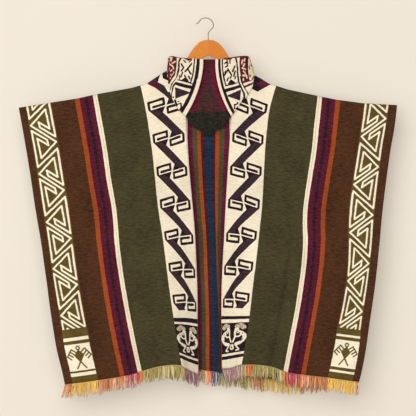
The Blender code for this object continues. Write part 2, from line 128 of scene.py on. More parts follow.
class Dye:
    """The shader nodes of one material."""

    def __init__(self, name, rough=0.9):
        self.material = bpy.data.materials.new(name)
        self.material.use_nodes = True
        self.tree = self.material.node_tree
        self.shader = self.tree.nodes["Principled BSDF"]
        self.shader.inputs["Roughness"].default_value = rough

    def node(self, kind, *inputs, **settings):
        made = self.tree.nodes.new("ShaderNode" + kind)
        for key, value in settings.items():
            setattr(made, key, value)
        for socket, value in zip(made.inputs, inputs):
            self.feed(socket, value)
        return made

    def feed(self, socket, value):
        if isinstance(value, bpy.types.NodeSocket):
            self.tree.links.new(value, socket)
        elif value is not None:
            socket.default_value = value

    def math(self, operation, a, b=None, c=None, clamp=False):
        return self.node("Math", a, b, c, operation=operation, use_clamp=clamp).outputs[0]

    def times(self, a, b):
        return self.math("MULTIPLY", a, b)

    def scaled(self, value, factor, start, clamp=False):
        return self.math("MULTIPLY_ADD", value, factor, start, clamp=clamp)

    def minus(self, a, b, clamp=False):
        return self.math("SUBTRACT", a, b, clamp=clamp)

    def less(self, a, b):
        return self.math("LESS_THAN", a, b)

    def more(self, a, b):
        return self.math("GREATER_THAN", a, b)

    def most(self, a, b):
        return self.math("MAXIMUM", a, b)

    def vector(self, operation, a, b=None, c=None):
        made = self.node("VectorMath", a, b, c, operation=operation)
        flat = operation in ("DOT_PRODUCT", "DISTANCE")
        return made.outputs["Value" if flat else "Vector"]

    def pair(self, x, y):
        return self.node("CombineXYZ", x, y).outputs[0]

    def split(self, vector):
        return self.node("SeparateXYZ", vector).outputs[:2]

    def mix(self, share, under, over):
        made = self.node("Mix", data_type="RGBA")
        self.feed(made.inputs[0], share)
        self.feed(made.inputs[6], under if isinstance(under, bpy.types.NodeSocket) else (*under, 1))
        self.feed(made.inputs[7], over if isinstance(over, bpy.types.NodeSocket) else (*over, 1))
        return made.outputs[2]

    def stripes(self, value, reach, stops):
        """Colours from rows of (where it starts, colour), for a value between 0 and reach."""
        made = self.node("ValToRGB", self.math("DIVIDE", value, reach))
        ramp = made.color_ramp
        ramp.interpolation = "CONSTANT"
        ramp.elements.remove(ramp.elements[1])
        for place, (start, colour) in enumerate(stops):
            stop = ramp.elements[0] if place == 0 else ramp.elements.new(start / reach)
            stop.position = start / reach
            stop.color = (*colour, 1)
        return made.outputs[0]

    def stroke(self, point, start, end):
        """How far the point is from the straight stroke between start and end."""
        run = (end[0] - start[0], end[1] - start[1], 0)
        square = run[0] ** 2 + run[1] ** 2
        along = self.vector("DOT_PRODUCT", point, (run[0] / square, run[1] / square, 0))
        offset = (start[0] * run[0] + start[1] * run[1]) / square
        along = self.minus(along, offset, clamp=True)
        foot = self.vector("MULTIPLY_ADD", along, run, (start[0], start[1], 0))
        return self.vector("DISTANCE", point, foot)

    def drawn(self, point, lines, half):
        """1 on the strokes of these lines, each a row of points, and 0 off them."""
        near = None
        for line in lines:
            for start, end in zip(line, line[1:]):
                reach = self.stroke(point, start, end)
                near = reach if near is None else self.math("MINIMUM", near, reach)
        return self.less(near, half)

    def inside(self, point, corners):
        """1 inside a convex shape whose corners are given in order, and 0 outside it."""
        centre = [sum(corner[i] for corner in corners) / len(corners) for i in (0, 1)]
        held = None
        for (x, y), (to_x, to_y) in zip(corners, corners[1:] + corners[:1]):
            normal = (to_y - y, x - to_x)
            edge = normal[0] * x + normal[1] * y
            outward = 1 if normal[0] * centre[0] + normal[1] * centre[1] < edge else -1
            out = self.vector("DOT_PRODUCT", point, (outward * normal[0], outward * normal[1], 0))
            ok = self.less(out, outward * edge)
            held = ok if held is None else self.times(held, ok)
        return held

    def noise(self, vector, scale=1.0, detail=2.0, rough=0.5):
        made = self.node("TexNoise", noise_dimensions="3D")
        self.feed(made.inputs["Vector"], vector)
        made.inputs["Scale"].default_value = scale
        made.inputs["Detail"].default_value = detail
        made.inputs["Roughness"].default_value = rough
        return made.outputs[0]

    def chart(self, length=1000):
        """The place on the flat cloth in millimetres; length is what a whole warp stands for."""
        place = self.node("UVMap", uv_map="cloth").outputs[0]
        return self.vector("MULTIPLY", place, (1000, length, 0))

    def threads(self, flat, scale, step):
        """The same place pushed a little aside and brought to the nearest thread's crossing."""
        shift = self.scaled(self.noise(flat, scale, 1.0), 1.6, -0.8)
        return self.vector("SNAP", self.vector("ADD", flat, self.pair(shift, shift)), step)

    def worn_and_lit(self, colour, light, shown=1.0):
        """The colour made lighter or darker, as far as shown lets it."""
        shade = self.node("HueSaturation")
        self.feed(shade.inputs["Color"], colour)
        self.feed(shade.inputs["Value"], light)
        self.feed(shade.inputs["Fac"], shown)
        return shade.outputs[0]

    def raised(self, height, depth, strength=1.0):
        """Gives the surface a relief, whose height of 1 stands for depth in metres."""
        bump = self.node("Bump")
        bump.inputs["Distance"].default_value = depth
        bump.inputs["Strength"].default_value = strength
        self.feed(bump.inputs["Height"], height)
        self.feed(self.shader.inputs["Normal"], bump.outputs[0])

    def weave(self, point, colour):
        """Finishes a cloth: uneven yarns, patches of painted light and shade, the weave in relief.

        point is the place on the cloth in millimetres, x across and y along the warp.
        """
        slubs = self.noise(self.vector("MULTIPLY", point, SLUB_SCALE), 1.0, 3.0, 0.6)
        flecks = self.noise(self.vector("MULTIPLY", point, FLECK_SCALE), 1.0, 2.0, 0.6)
        # Wide patches, lighter and darker at random: partly faded nap, partly painted soft light
        # and shade
        clouds = self.noise(self.vector("MULTIPLY", point, CLOUD_SCALE), 1.0, 1.0)
        lift = 1 - (SLUB_WEAR + FLECK_WEAR + CLOUD_LIGHT_AND_WEAR) / 2
        for patch, wear in ((slubs, SLUB_WEAR), (flecks, FLECK_WEAR), (clouds, CLOUD_LIGHT_AND_WEAR)):
            lift = self.scaled(patch, wear, lift)
        shown = self.scaled(self.split(colour)[0], PALE_HIDES, 1.0)
        worn_and_lit = self.worn_and_lit(colour, lift, shown)
        tint = self.scaled(self.math("ADD", slubs, flecks), FLECK_TINT, -FLECK_TINT)
        self.feed(self.shader.inputs["Base Color"], self.vector("ADD", worn_and_lit, tint))
        x, y = self.split(point)
        warp = self.math("SINE", self.times(x, 2 * math.pi / WARP_STEP))
        weft = self.math("SINE", self.times(y, 2 * math.pi / WEFT_STEP))
        ribs = self.math("ADD", self.times(warp, weft), self.times(slubs, SLUB_HEIGHT))
        self.raised(ribs, WEAVE_DEPTH, 0.7)
        self.shader.inputs["Sheen Weight"].default_value = 0.05
        self.shader.inputs["Sheen Roughness"].default_value = 0.5
        self.shader.inputs["Specular IOR Level"].default_value = 0.12
        return self.material


# %% Wall and floor
def add_backdrop(name, corners, colour, glow, one_sided):
    """A plain flat surface of the room, between two opposite corners. glow evens its light."""
    bpy.ops.object.select_all(action="DESELECT")
    bpy.ops.mesh.primitive_plane_add(size=1)
    flat = bpy.context.object
    flat.name = name
    for vertex, corner in zip(flat.data.vertices, corners):
        vertex.co = corner
    paint = Dye(name, 0.95)
    paint.shader.inputs["Base Color"].default_value = (*colour, 1)
    even = paint.node("Emission")
    even.inputs["Color"].default_value = (*colour, 1)
    surface = paint.node("MixShader", glow, paint.shader.outputs[0], even.outputs[0])
    if one_sided:
        clear = paint.node("BsdfTransparent")
        facing = paint.node("NewGeometry").outputs["Backfacing"]
        surface = paint.node("MixShader", facing, surface.outputs[0], clear.outputs[0])
    output = paint.tree.nodes["Material Output"]
    paint.tree.links.new(surface.outputs[0], output.inputs["Surface"])
    flat.data.materials.append(paint.material)
    return flat


WALL_PLACE = 0.072      # just behind the garment's back
WALL_TOP = 1.4
FLOOR_PLACE = -1.75
FLOOR_FRONT = -3.5
ROOM_HALF = 2.6
plaster = srgb(233, 226, 214)


def corners_of(start, end, low, high):
    """The four corners of a flat surface, from one end of its depth and height to the other."""
    return [(side, depth, up) for depth, up in ((start, low), (end, high))
            for side in (-ROOM_HALF, ROOM_HALF)]


wall = add_backdrop("wall", corners_of(WALL_PLACE, WALL_PLACE, FLOOR_PLACE, WALL_TOP), plaster,
                    0.3, True)
floor = add_backdrop("floor", corners_of(FLOOR_FRONT, WALL_PLACE, FLOOR_PLACE, FLOOR_PLACE),
                     plaster, 0.0, False)
wall.visible_diffuse = False
wall.visible_glossy = False
wall.visible_shadow = False
print("room:", wall.name, floor.name)

# %% [markdown]
# ## The cloth's own measures
# The poncho is one wide cloth whose lines hang from the shoulders. A place on it is told by how
# much cloth lies outside it, across, and by its share of the way from the shoulder to the hem.
# Short tables say where the main lines hang at each drop, and a cubic runs softly between their
# rows. Everything is in millimetres, with drops measured down from the inner top of the hook.

# %% Measures of the cloth
MM = 0.001
WALL = 2.2              # thickness of the cloth
EDGE_GAP = 0.45         # half of the gap between front and back on the shoulder
MID_LINE = 9.7          # the garment's mid line, to the right of the hook's inner top
FOLD_RADIUS = 8.5       # of the cloth over the hanger's arm
FRONT_FLARE = 14.0
BACK_FLARE = 22.0
BACK_INSET = 3.0        # how far the back's outer edges hang inside those of the fronts
INSET_SPEED = 8         # that inset is whole after one part in this many of the length
EVEN_FROM = 0.35        # share of the length below which the back's cloth is spread evenly
HALF_WIDTH = 496.0      # cloth of one front, outer edge to slit edge
OUTER_BAND = (20.0, 99.0)   # where the outer figured band lies across it
STRIPES_HALF = 64.5     # half of the stripes down the back's middle
BAND_BEND = 1.4         # how sharply the band turns in: the power of the share across it
BACK_WIDTH = 2 * (HALF_WIDTH + STRIPES_HALF)
CLOTH_LENGTH = 900.0    # shoulder to hem, about: what a share of 1 stands for in the charts

LINES = (0.0, 232.0, 380.0, 438.0, 496.0)   # across, where the main lines run
# For the garment's left and right: at each drop, how far from the mid line the main lines hang.
# At each place across: the shoulder's drop, the hem's drop, and how much cloth the neck takes off
# the front and the back. At each share of the length: how far the slit's edge turns back. Then
# the soft folds: where across, half width, how far out, and the share of the length they begin at.
SIDES = {
    -1: {
        "lines": ((162, 620, 376, 224, 147, 80), (280, 595, 357, 197, 132, 72),
            (413, 571, 333, 176, 120, 65), (505, 556, 320, 166, 110, 57),
            (592, 543, 304, 157, 101, 49), (650, 533, 298, 148, 94, 44),
            (696, 525, 295, 141, 89, 41), (765, 515, 287, 132, 81, 38),
            (843, 504, 275, 122, 73, 35), (905, 496, 264, 113, 67, 34),
            (963, 487, 253, 104, 66, 34), (1035, 475, 238, 92, 64, 33),
            (1104, 458, 223, 80, 61, 32), (1151, 448, 214, 73, 60, 32)),
        "shoulder": ((0, 280), (185, 251), (243, 238), (351, 218), (380, 210), (397, 204),
            (438, 173), (455, 162), (496, 146)),
        "hem": ((0, 1147), (103, 1134), (176, 1123), (231, 1110), (273, 1098), (322, 1088),
            (368, 1085), (397, 1094), (438, 1103), (496, 1118)),
        "neck": ((450, 0), (452, 5), (455, 14), (462, 72), (475, 113), (496, 157)),
        "back_neck": ((450, 0), (452, 5), (456, 14), (470, 26), (496, 44), (561, 50)),
        "turn": ((0, 0), (0.3, 3), (0.5, 11), (0.7, 24), (1, 38)),
        "folds": ((50, 34, 7, 0.35), (140, 40, -6, 0.3), (205, 26, 6, 0.55), (300, 38, -5, 0.35),
            (378, 30, 12, 0.35)),
    },
    1: {
        "lines": ((162, 602, 363, 228, 138, 87), (272, 592, 355, 194, 128, 76),
            (345, 583, 347, 183, 124, 70), (413, 571, 340, 177, 120, 65),
            (505, 558, 325, 172, 115, 59), (592, 547, 312, 167, 109, 54),
            (650, 541, 310, 161, 103, 51), (696, 537, 312, 156, 98, 49),
            (765, 530, 308, 148, 91, 45), (843, 521, 298, 138, 84, 42),
            (905, 512, 288, 131, 79, 41), (963, 503, 277, 124, 74, 41),
            (1035, 493, 263, 112, 73, 42), (1104, 480, 250, 100, 71, 43),
            (1151, 468, 242, 94, 68, 43)),
        "shoulder": ((0, 272), (106, 266), (187, 255), (241, 244), (339, 223), (380, 211),
            (397, 205), (432, 178), (449, 165), (496, 146)),
        "hem": ((0, 1139), (93, 1127), (228, 1109), (297, 1089), (380, 1084), (438, 1096),
            (496, 1099)),
        "neck": ((434, 0), (436, 5), (440, 14), (452, 60), (468, 98), (496, 157)),
        "back_neck": ((434, 0), (436, 5), (440, 14), (456, 28), (496, 44), (561, 50)),
        "turn": ((0, 0), (0.3, 2), (0.5, 8), (0.7, 18), (1, 30)),
        "folds": ((40, 30, 6, 0.4), (115, 36, -6, 0.35), (215, 32, 8, 0.45), (281, 16, -7, 0.55),
            (376, 34, 12, 0.35)),
    },
}
BACK_HEM = ((0, 1138), (103, 1128), (231, 1106), (322, 1090), (380, 1092), (560, 1112), (741, 1128),
            (860, 1142), (940, 1136), (1028, 1124), (1121, 1136))
BACK_FOLDS = ((70, 40, 9, 0.3), (190, 46, 11, 0.25), (330, 50, 13, 0.2), (470, 44, 15, 0.25),
              (640, 46, 16, 0.2), (790, 46, 13, 0.25), (930, 44, 11, 0.3), (1050, 38, 9, 0.35))
# The back's middle stripes: where across they change, and how far right of the mid line the
# changes hang at each drop
MIDDLE_MARKS = (496, 509.5, 522.5, 535.5, 549.5, 571.5, 585.5, 598.5, 611.5, 625)
BACK_MIDDLE = ((160, -67, -51, -38, -25, -11, 11, 25, 38, 51, 67),
    (300, -67, -51, -38, -25, -11, 11, 25, 38, 52, 68),
    (382, -67, -51, -38, -25, -12, 11, 23, 38, 52, 69),
    (536, -57, -42, -31, -18, -6, 11, 22, 34, 45, 61),
    (677, -48, -33, -20, -8, 3, 20, 23, 30, 40, 53),
    (831, -40, -25, -14, -2, 9, 26, 27, 31, 37, 47),
    (963, -37, -22, -10, 2, 12, 31, 32, 35, 38, 46),
    (1092, -37, -22, -10, 2, 14, 31, 32, 34, 38, 47),
    (1150, -37, -22, -10, 2, 14, 31, 32, 34, 38, 47))


def smooth(t):
    """0 up to 0, 1 from 1, and soft in between."""
    t = min(1.0, max(0.0, t))
    return t * t * (3 - 2 * t)


def read(table, key, column=1):
    """The table's value at key, straight between its rows and past their ends."""
    keys = [row[0] for row in table]
    i = min(max(bisect.bisect_right(keys, key) - 1, 0), len(keys) - 2)
    low, high = table[i], table[i + 1]
    share = (key - low[0]) / (high[0] - low[0])
    return low[column] + (high[column] - low[column]) * share


def soft_read(table, key, column=1):
    """The same with its corners rounded: a cubic whose slopes come from the rows around."""
    last = len(table) - 1
    keys = [row[0] for row in table]
    i = min(max(bisect.bisect_right(keys, key) - 1, 0), last - 1)
    if key <= keys[0] or key >= keys[last]:
        return read(table, key, column)

    def slope(j):
        a, b = table[max(j - 1, 0)], table[min(j + 1, last)]
        return (b[column] - a[column]) / (b[0] - a[0])

    span = keys[i + 1] - keys[i]
    t = (key - keys[i]) / span
    low, high = table[i][column], table[i + 1][column]
    return (low * (1 + 2 * t) * (1 - t) ** 2 + high * t * t * (3 - 2 * t)
            + slope(i) * span * t * (1 - t) ** 2 - slope(i + 1) * span * t * t * (1 - t))


print("cloth:", round(BACK_WIDTH), "mm across the back")

# %% [markdown]
# ## Creases
# Hung cloth keeps the marks of how it was folded and carried: a faint line where it lay folded
# in half, and short pulls that run down from the shoulders. Each one here is a soft ridge or
# trough along a line between two places on the cloth, with its own length, width and depth.

# %% Creases of each panel
# From across and drop, to across and drop, half width, how far it stands out of the garment
CREASES = {
    -1: ((10, 706, 488, 690, 9, 1.1), (10, 724, 430, 708, 16, -0.8), (30, 330, 95, 640, 22, 1.6),
        (150, 300, 120, 560, 26, -1.5), (262, 300, 300, 620, 24, 1.6),
        (330, 420, 318, 900, 20, -1.5), (405, 380, 452, 620, 18, 1.3),
        (60, 780, 30, 1060, 24, -1.6), (180, 820, 214, 1090, 20, 1.7),
        (455, 760, 470, 1080, 16, -1.2), (262, 880, 250, 1080, 18, -1.6)),
    1: ((10, 700, 486, 694, 9, 1.1), (30, 716, 420, 710, 16, -0.8), (40, 320, 84, 600, 24, 1.5),
        (140, 290, 170, 620, 26, -1.6), (210, 330, 190, 700, 22, 1.4),
        (281, 640, 286, 1080, 7, -6.5), (296, 700, 301, 1070, 10, 2.6),
        (262, 690, 252, 714, 5, -1.6), (330, 300, 352, 660, 22, -1.4),
        (452, 420, 430, 700, 16, 1.3), (70, 820, 108, 1090, 22, 1.7),
        (452, 820, 470, 1070, 16, -1.2)),
    "back": ((10, 702, 1110, 690, 10, 1.2), (10, 720, 1110, 706, 16, -0.9),
        (60, 330, 130, 760, 28, 2.0), (240, 300, 270, 820, 30, -2.0),
        (400, 330, 420, 700, 26, 1.8), (520, 280, 545, 900, 24, -1.8),
        (640, 260, 600, 640, 22, 1.6), (742, 320, 720, 880, 28, -2.0),
        (900, 310, 860, 720, 30, 2.0), (1040, 340, 1010, 860, 26, -1.8),
        (330, 880, 352, 1080, 20, 1.6), (860, 860, 884, 1100, 22, 1.7)),
}


def crease_sum(creases, across, drop):
    """How far the creases push the cloth out of the garment here."""
    total = 0.0
    for a0, d0, a1, d1, half, height in creases:
        run_a, run_d = a1 - a0, d1 - d0
        square = run_a ** 2 + run_d ** 2
        along = ((across - a0) * run_a + (drop - d0) * run_d) / square
        if not -0.3 < along < 1.3:
            continue
        aside = ((across - a0) * run_d - (drop - d0) * run_a) / math.sqrt(square)
        if abs(aside) < 3 * half:
            ends = smooth((along + 0.2) / 0.4) * smooth((1.2 - along) / 0.4)
            total += height * ends * math.exp(-((aside / half) ** 2))
    return total


print("creases:", [len(creases) for creases in CREASES.values()])

# %% [markdown]
# ## Where each place of the cloth hangs
# These are the rules that lay a place on the cloth into the room: over the shoulder on a small
# round, down to the hem, a little forward, and in and out with the soft folds and the creases.


# %% Placing the panels
def place(sign, side, depth, drop):
    """A point in metres, from its side, depth and drop."""
    return ((MID_LINE + sign * side) * MM, depth * MM, -drop * MM)


def line_side(sign, across, drop):
    """How far out the cloth hangs at this drop, with this much cloth outside it."""
    sides = [soft_read(SIDES[sign]["lines"], drop, i + 1) for i in range(len(LINES))]
    return read(list(zip(LINES, sides)), across)


def fold_depth(length):
    """Over the shoulder: how far the cloth has gone forward and down after this much of it."""
    angle = min(length / FOLD_RADIUS, math.pi / 2)
    past = max(0.0, length - FOLD_RADIUS * math.pi / 2)
    return FOLD_RADIUS * math.sin(angle), FOLD_RADIUS * (1 - math.cos(angle)) + past


def fold_sum(folds, across, share):
    """How far the soft folds push the cloth out of the garment here."""
    total = 0.0
    for centre, half, height, start in folds:
        bump = math.exp(-(((across - centre) / half) ** 2))
        total += height * bump * smooth((share - start) / (1 - start))
    return total


def hang(top, cut, hem, share):
    """Drop, forward push and share of the whole length, at a share of what the neck leaves."""
    length = hem - top - WALL / 2 + FOLD_RADIUS * (math.pi / 2 - 1)
    at = cut + (length - cut) * share
    forward, down = fold_depth(at)
    return top + WALL / 2 + down, forward, at / length


def front_point(sign, across, share):
    """A place on a front panel in the room, and its share of the whole length."""
    cloth = SIDES[sign]
    cut = max(0.0, read(cloth["neck"], across))
    drop, forward, whole = hang(read(cloth["shoulder"], across), cut,
                                soft_read(cloth["hem"], across), share)
    band = max(0.0, (across - LINES[2]) / (LINES[4] - LINES[2]))
    depth = -EDGE_GAP - forward - FRONT_FLARE * smooth(whole)
    depth += read(cloth["turn"], whole) * band ** BAND_BEND
    depth -= fold_sum(cloth["folds"], across, whole) + crease_sum(CREASES[sign], across, drop)
    return place(sign, line_side(sign, across, drop), depth, drop), whole


def middle_side(across, drop):
    """How far right of the mid line the back's middle stripes hang."""
    sides = [soft_read(BACK_MIDDLE, drop, column + 1) for column in range(len(MIDDLE_MARKS))]
    return read(list(zip(MIDDLE_MARKS, sides)), across)


def back_point(across, share):
    """A place on the back panel in the room, and its share of the whole length."""
    sign = -1 if across < BACK_WIDTH / 2 else 1
    half = min(across, BACK_WIDTH - across)
    top = read(SIDES[sign]["shoulder"], min(half, LINES[4]))
    cut = max(0.0, read(SIDES[sign]["back_neck"], half))
    drop, backward, whole = hang(top, cut, soft_read(BACK_HEM, across), share)
    outer = line_side(sign, 0, drop) - BACK_INSET * smooth(whole * INSET_SPEED)
    if half <= HALF_WIDTH:
        inner = sign * middle_side(HALF_WIDTH if sign < 0 else BACK_WIDTH - HALF_WIDTH, drop)
        even = outer + (inner - outer) * half / HALF_WIDTH
        blend = smooth(whole / EVEN_FROM)
        side = line_side(sign, half, drop) * (1 - blend) + even * blend
        start = smooth((half - LINES[3]) / (HALF_WIDTH - LINES[3]))
        side += (even - side) * start
    else:
        side = sign * middle_side(across, drop)
    depth = EDGE_GAP + backward + BACK_FLARE * smooth(whole)
    depth += fold_sum(BACK_FOLDS, across, whole) + crease_sum(CREASES["back"], across, drop)
    return place(sign, side, depth, drop), whole


print("left hem corner:", [round(v, 3) for v in front_point(-1, 0, 1)[0]])

# %% [markdown]
# ## How the band's rows run
# The band beside the opening hangs heavily from the neck, so its rows of weaving are not level:
# near the shoulder they climb towards the opening, and near the hem they fall. A row still runs
# straight across each half of the band, so a table of tilts is enough to say where it has got to.

# %% Rows of the band
# Drop on the band's middle line, then how much lower a row lies for each millimetre inwards, in
# the band's outer half and in its inner half
TILT = {
    -1: ((173, -0.31, -0.27), (271, -0.31, -0.25), (376, -0.29, -0.33), (483, -0.3, -0.29),
        (584, -0.28, -0.23), (683, -0.22, -0.13), (786, -0.11, 0.0), (891, -0.04, 0.11),
        (947, 0.05, 0.17), (1060, 0.48, 0.38)),
    1: ((173, -0.38, -0.39), (271, -0.38, -0.39), (376, -0.35, -0.34), (480, -0.3, -0.27),
        (580, -0.36, -0.22), (678, -0.27, -0.13), (779, -0.18, -0.08), (882, -0.13, 0.0),
        (939, 0.05, 0.02), (1060, 0.22, 0.22)),
}


def band_share(sign, point, whole):
    """The share of the length that the weave has reached at a point of the band."""
    top = read(SIDES[sign]["shoulder"], LINES[3])
    hem = soft_read(SIDES[sign]["hem"], LINES[3])
    side = sign * (point[0] / MM - MID_LINE)
    drop = -point[2] / MM
    for _ in range(3):
        row_drop = hang(top, 0, hem, whole)[0]
        inward = line_side(sign, LINES[3], row_drop) - side
        tilt = read(TILT[sign], row_drop, 1 if inward < 0 else 2)
        whole += (drop - row_drop - tilt * inward) / (hem - top)
    return whole


# Share of the length, then how far inwards the outer band lies there, at its outer and its inner
# side, and how far down its fret has slipped
DRIFT = {
    -1: ((0, 1, 1, 0), (0.25, 2, 2, 0), (0.48, 2, 2, 0), (0.594, 1.5, 1.5, -6),
        (0.65, 2, 1.5, -7.6), (0.761, 6, 4, -10.4), (0.82, 6, 5, -11), (0.835, 6, 5, 0),
        (1, 5, 5, 0)),
    1: ((0, 5, 2, -1), (0.131, 7, 3.8, -1), (0.306, 4.7, 4.4, -0.5), (0.48, 3.5, 3.1, 0),
        (0.59, 4.2, -3, 0.6), (0.644, 5, -5.3, 0.8), (0.7, 5.6, -4, 0.5), (0.753, 6.3, -2.5, 0),
        (0.811, 5, 0, 0), (0.9, 3, 1, 0), (1, 2.5, 2.5, 0)),
}
DRIFT_REACH = 55.0      # how far past the band the cloth takes up its drift


def drifted(sign, across, whole):
    """The weave's own place at a place on a front's cloth, outside the inner band."""
    outer, inner, down = [read(DRIFT[sign], whole, column) for column in (1, 2, 3)]
    if across < OUTER_BAND[0]:
        inward = outer * across / OUTER_BAND[0]
    else:
        inward = read(((OUTER_BAND[0], outer), (OUTER_BAND[1], inner)), min(across, OUTER_BAND[1]))
        inward *= 1 - smooth((across - OUTER_BAND[1]) / DRIFT_REACH)
    return across - inward, whole - down / CLOTH_LENGTH


print("tilt at the hem:", TILT[-1][-1][1:], TILT[1][-1][1:])

# %% [markdown]
# ## Laying a sheet
# A panel starts as a flat grid with a row and a column for every few millimetres of cloth. Its
# points are moved to where the cloth hangs, and each keeps its place on the flat cloth in a UV
# map, so that the woven pattern follows the folds. Solidify then gives it the cloth's thickness.


# %% Sheet helper
def between(marks, step):
    """The marks, with even places between them no further apart than the step."""
    placed = [marks[0]]
    for start, end in zip(marks, marks[1:]):
        parts = max(1, math.ceil((end - start) / step))
        placed += [start + (end - start) * i / parts for i in range(1, parts + 1)]
    return placed


def lay_sheet(name, columns, rows, spot, wall=WALL):
    """A cloth of columns by rows points. spot(column, row) gives its place and its chart."""
    bpy.ops.object.select_all(action="DESELECT")
    bpy.ops.mesh.primitive_grid_add(x_subdivisions=columns - 1, y_subdivisions=rows - 1)
    cloth = bpy.context.object
    cloth.name = name
    cloth.data.name = name
    charts = []
    for index, vertex in enumerate(cloth.data.vertices):
        vertex.co, chart = spot(index % columns, index // columns)
        charts.append(chart)
    layer = cloth.data.uv_layers[0]
    layer.name = "cloth"
    for loop in cloth.data.loops:
        layer.data[loop.index].uv = charts[loop.vertex_index]
    solid = cloth.modifiers.new("wall", "SOLIDIFY")
    solid.thickness = wall * MM
    solid.offset = 0
    bpy.ops.object.modifier_apply(modifier="wall")
    bpy.ops.object.shade_smooth()
    print(name, len(cloth.data.polygons), "faces")
    return cloth


# %% [markdown]
# ## The three panels
# Two fronts and a back. The columns crowd where the neck is cut, because its edge has to follow
# the curve, and the rows crowd over the shoulder. The back's chart is folded at its middle, so
# that its stripes mirror as they do on the loom.

# %% Fronts and back
COLUMN_STEP = 6.5
ROW_COUNT = 120
FOLD_ROWS = 5
USUAL_LENGTH = 870
LEFT_MARKS = (0, 20, 99, 154, 174, 232, 380, 438, 450, 452, 455, 462, 475, 496)
RIGHT_MARKS = (0, 20, 99, 154, 174, 232, 281, 380, 434, 436, 440, 452, 468, 496)
BACK_MARKS = (0, 99, 232, 380, 438, 450, 452, 456, 470, *MIDDLE_MARKS[:5], BACK_WIDTH / 2)
BACK_RIGHT_MARKS = (0, 99, 232, 380, 434, 436, 440, 456, 475, *MIDDLE_MARKS[:5], BACK_WIDTH / 2)

fold_share = FOLD_RADIUS * math.pi / 2 / USUAL_LENGTH
shares = [fold_share * i / FOLD_ROWS for i in range(FOLD_ROWS)]
shares += [fold_share + (1 - fold_share) * i / ROW_COUNT for i in range(ROW_COUNT + 1)]


def lay_front(name, sign, marks):
    columns = between(marks, COLUMN_STEP)

    def spot(column, row):
        point, whole = front_point(sign, columns[column], shares[row])
        across = columns[column]
        if across >= LINES[2]:
            whole = band_share(sign, point, whole)
        elif across < LINES[1]:
            across, whole = drifted(sign, across, whole)
        return point, (across * MM, whole)

    return lay_sheet(name, len(columns), len(shares), spot)


def lay_back():
    columns = between(BACK_MARKS, COLUMN_STEP)
    other = between(BACK_RIGHT_MARKS, COLUMN_STEP)
    columns += [BACK_WIDTH - across for across in reversed(other[:-1])]

    def spot(column, row):
        point, whole = back_point(columns[column], shares[row])
        half = min(columns[column], BACK_WIDTH - columns[column])
        return point, (half * MM, whole)

    return lay_sheet("cloth_back", len(columns), len(shares), spot)


front_left = lay_front("cloth_front_left", -1, LEFT_MARKS)
front_right = lay_front("cloth_front_right", 1, RIGHT_MARKS)
back = lay_back()

# %% [markdown]
# ## The striped cloth and its figured bands
# All three panels are one cloth. Its warp stripes run from the shoulder to the hem, so a ramp of
# hard-edged colours over the place across the cloth gives them. The outer band carries a stepped
# fret in cream on olive, and the band beside the opening a row of hooked figures. Both repeat
# down the cloth and look the same turned half round, so a repeat is folded on itself and only
# half of its strokes are drawn. Each band ends near the hem in a bordered square with a figure.

# %% Yarn colours
CREAM = srgb(248, 236, 211)
CREAM_SHADE = srgb(225, 205, 165)
BRIGHT_CREAM = srgb(255, 246, 220)
BROWN = srgb(77, 46, 26)
OLIVE = srgb(98, 80, 36)
ORANGE = srgb(160, 74, 32)
MAROON = srgb(88, 24, 46)
PLUM = srgb(48, 28, 38)
GREEN = srgb(68, 63, 40)
NAVY = srgb(21, 50, 75)
BACK_MAROON = srgb(99, 29, 55)
BACK_GREEN = srgb(76, 72, 46)
BACK_PLUM = srgb(64, 32, 46)
HOOK_DARK = srgb(38, 20, 32)
HOOK_BODY = srgb(58, 40, 50)
HOOK_RED = srgb(88, 26, 46)
PLUME_GREY = srgb(158, 146, 128)
STRIPES = ((0, BROWN), (20, OLIVE), (99, BROWN), (174, ORANGE), (188, MAROON), (204, PLUM),
           (215, MAROON), (232, CREAM), (238.2, CREAM_SHADE), (239.8, CREAM), (246, GREEN),
           (380, CREAM), (496, BACK_MAROON), (509.5, BACK_GREEN), (523, ORANGE),
           (535, BACK_PLUM), (549.5, NAVY))
STRIPES_REACH = 600.0

# %% Charts of the figures
# For each side: the share where a repeat of the fret turns and where the fret ends, then the
# shares where its bars start and end by turns. The same for the hooks, with their repeat in
# millimetres. The collar is the figure that the hood's seam cuts off, as shapes in their colours.
LEFT_CHART = {"fret_turn": 0.2828, "fret_end": 0.8205,
              "fret_bars": (0.8385, 0.850, 0.8613, 0.957, 0.9645, 0.975),
              "hook_turn": 0.1112, "hook_repeat": 99.15, "hook_end": 0.7985,
              "hook_bars": (0.824, 0.8362, 0.847, 0.9507, 0.9605, 0.9712),
              "collar": ((CREAM, (-13, 25), (3, 41.3), (19, 33.5), (-5, 12.7)),
                         (CREAM, (3, 41.3), (11, 62.9), (23, 62.3), (19, 33.5)),
                         (HOOK_DARK, (-5, 6.2), (14.2, -7.7), (15, 30.7), (7, 30.2), (3, 13.9)),
                         (HOOK_RED, (-41, 20.1), (-17, 22.3), (-9, 41.6), (-17, 43.9)))}
RIGHT_CHART = {"fret_turn": 0.265, "fret_end": 0.817,
               "fret_bars": (0.836, 0.8472, 0.8572, 0.9567, 0.9657, 0.975),
               "hook_turn": 0.1133, "hook_repeat": 98.25, "hook_end": 0.7965,
               "hook_bars": (0.824, 0.8345, 0.846, 0.947, 0.9565, 0.9685),
               "collar": ((CREAM, (2, 47.2), (-17, 51.5), (-17, 56.6),
                           (11, 84), (15.4, 73.3), (7.7, 54.7)),
                          (HOOK_DARK, (-5, 4.6), (-45, 14.9), (-17, 51.1), (3, 46.8)),
                          (HOOK_RED, (-25, 11.2), (-45, 14.9), (-25, 36.5), (-13, 27.1)))}
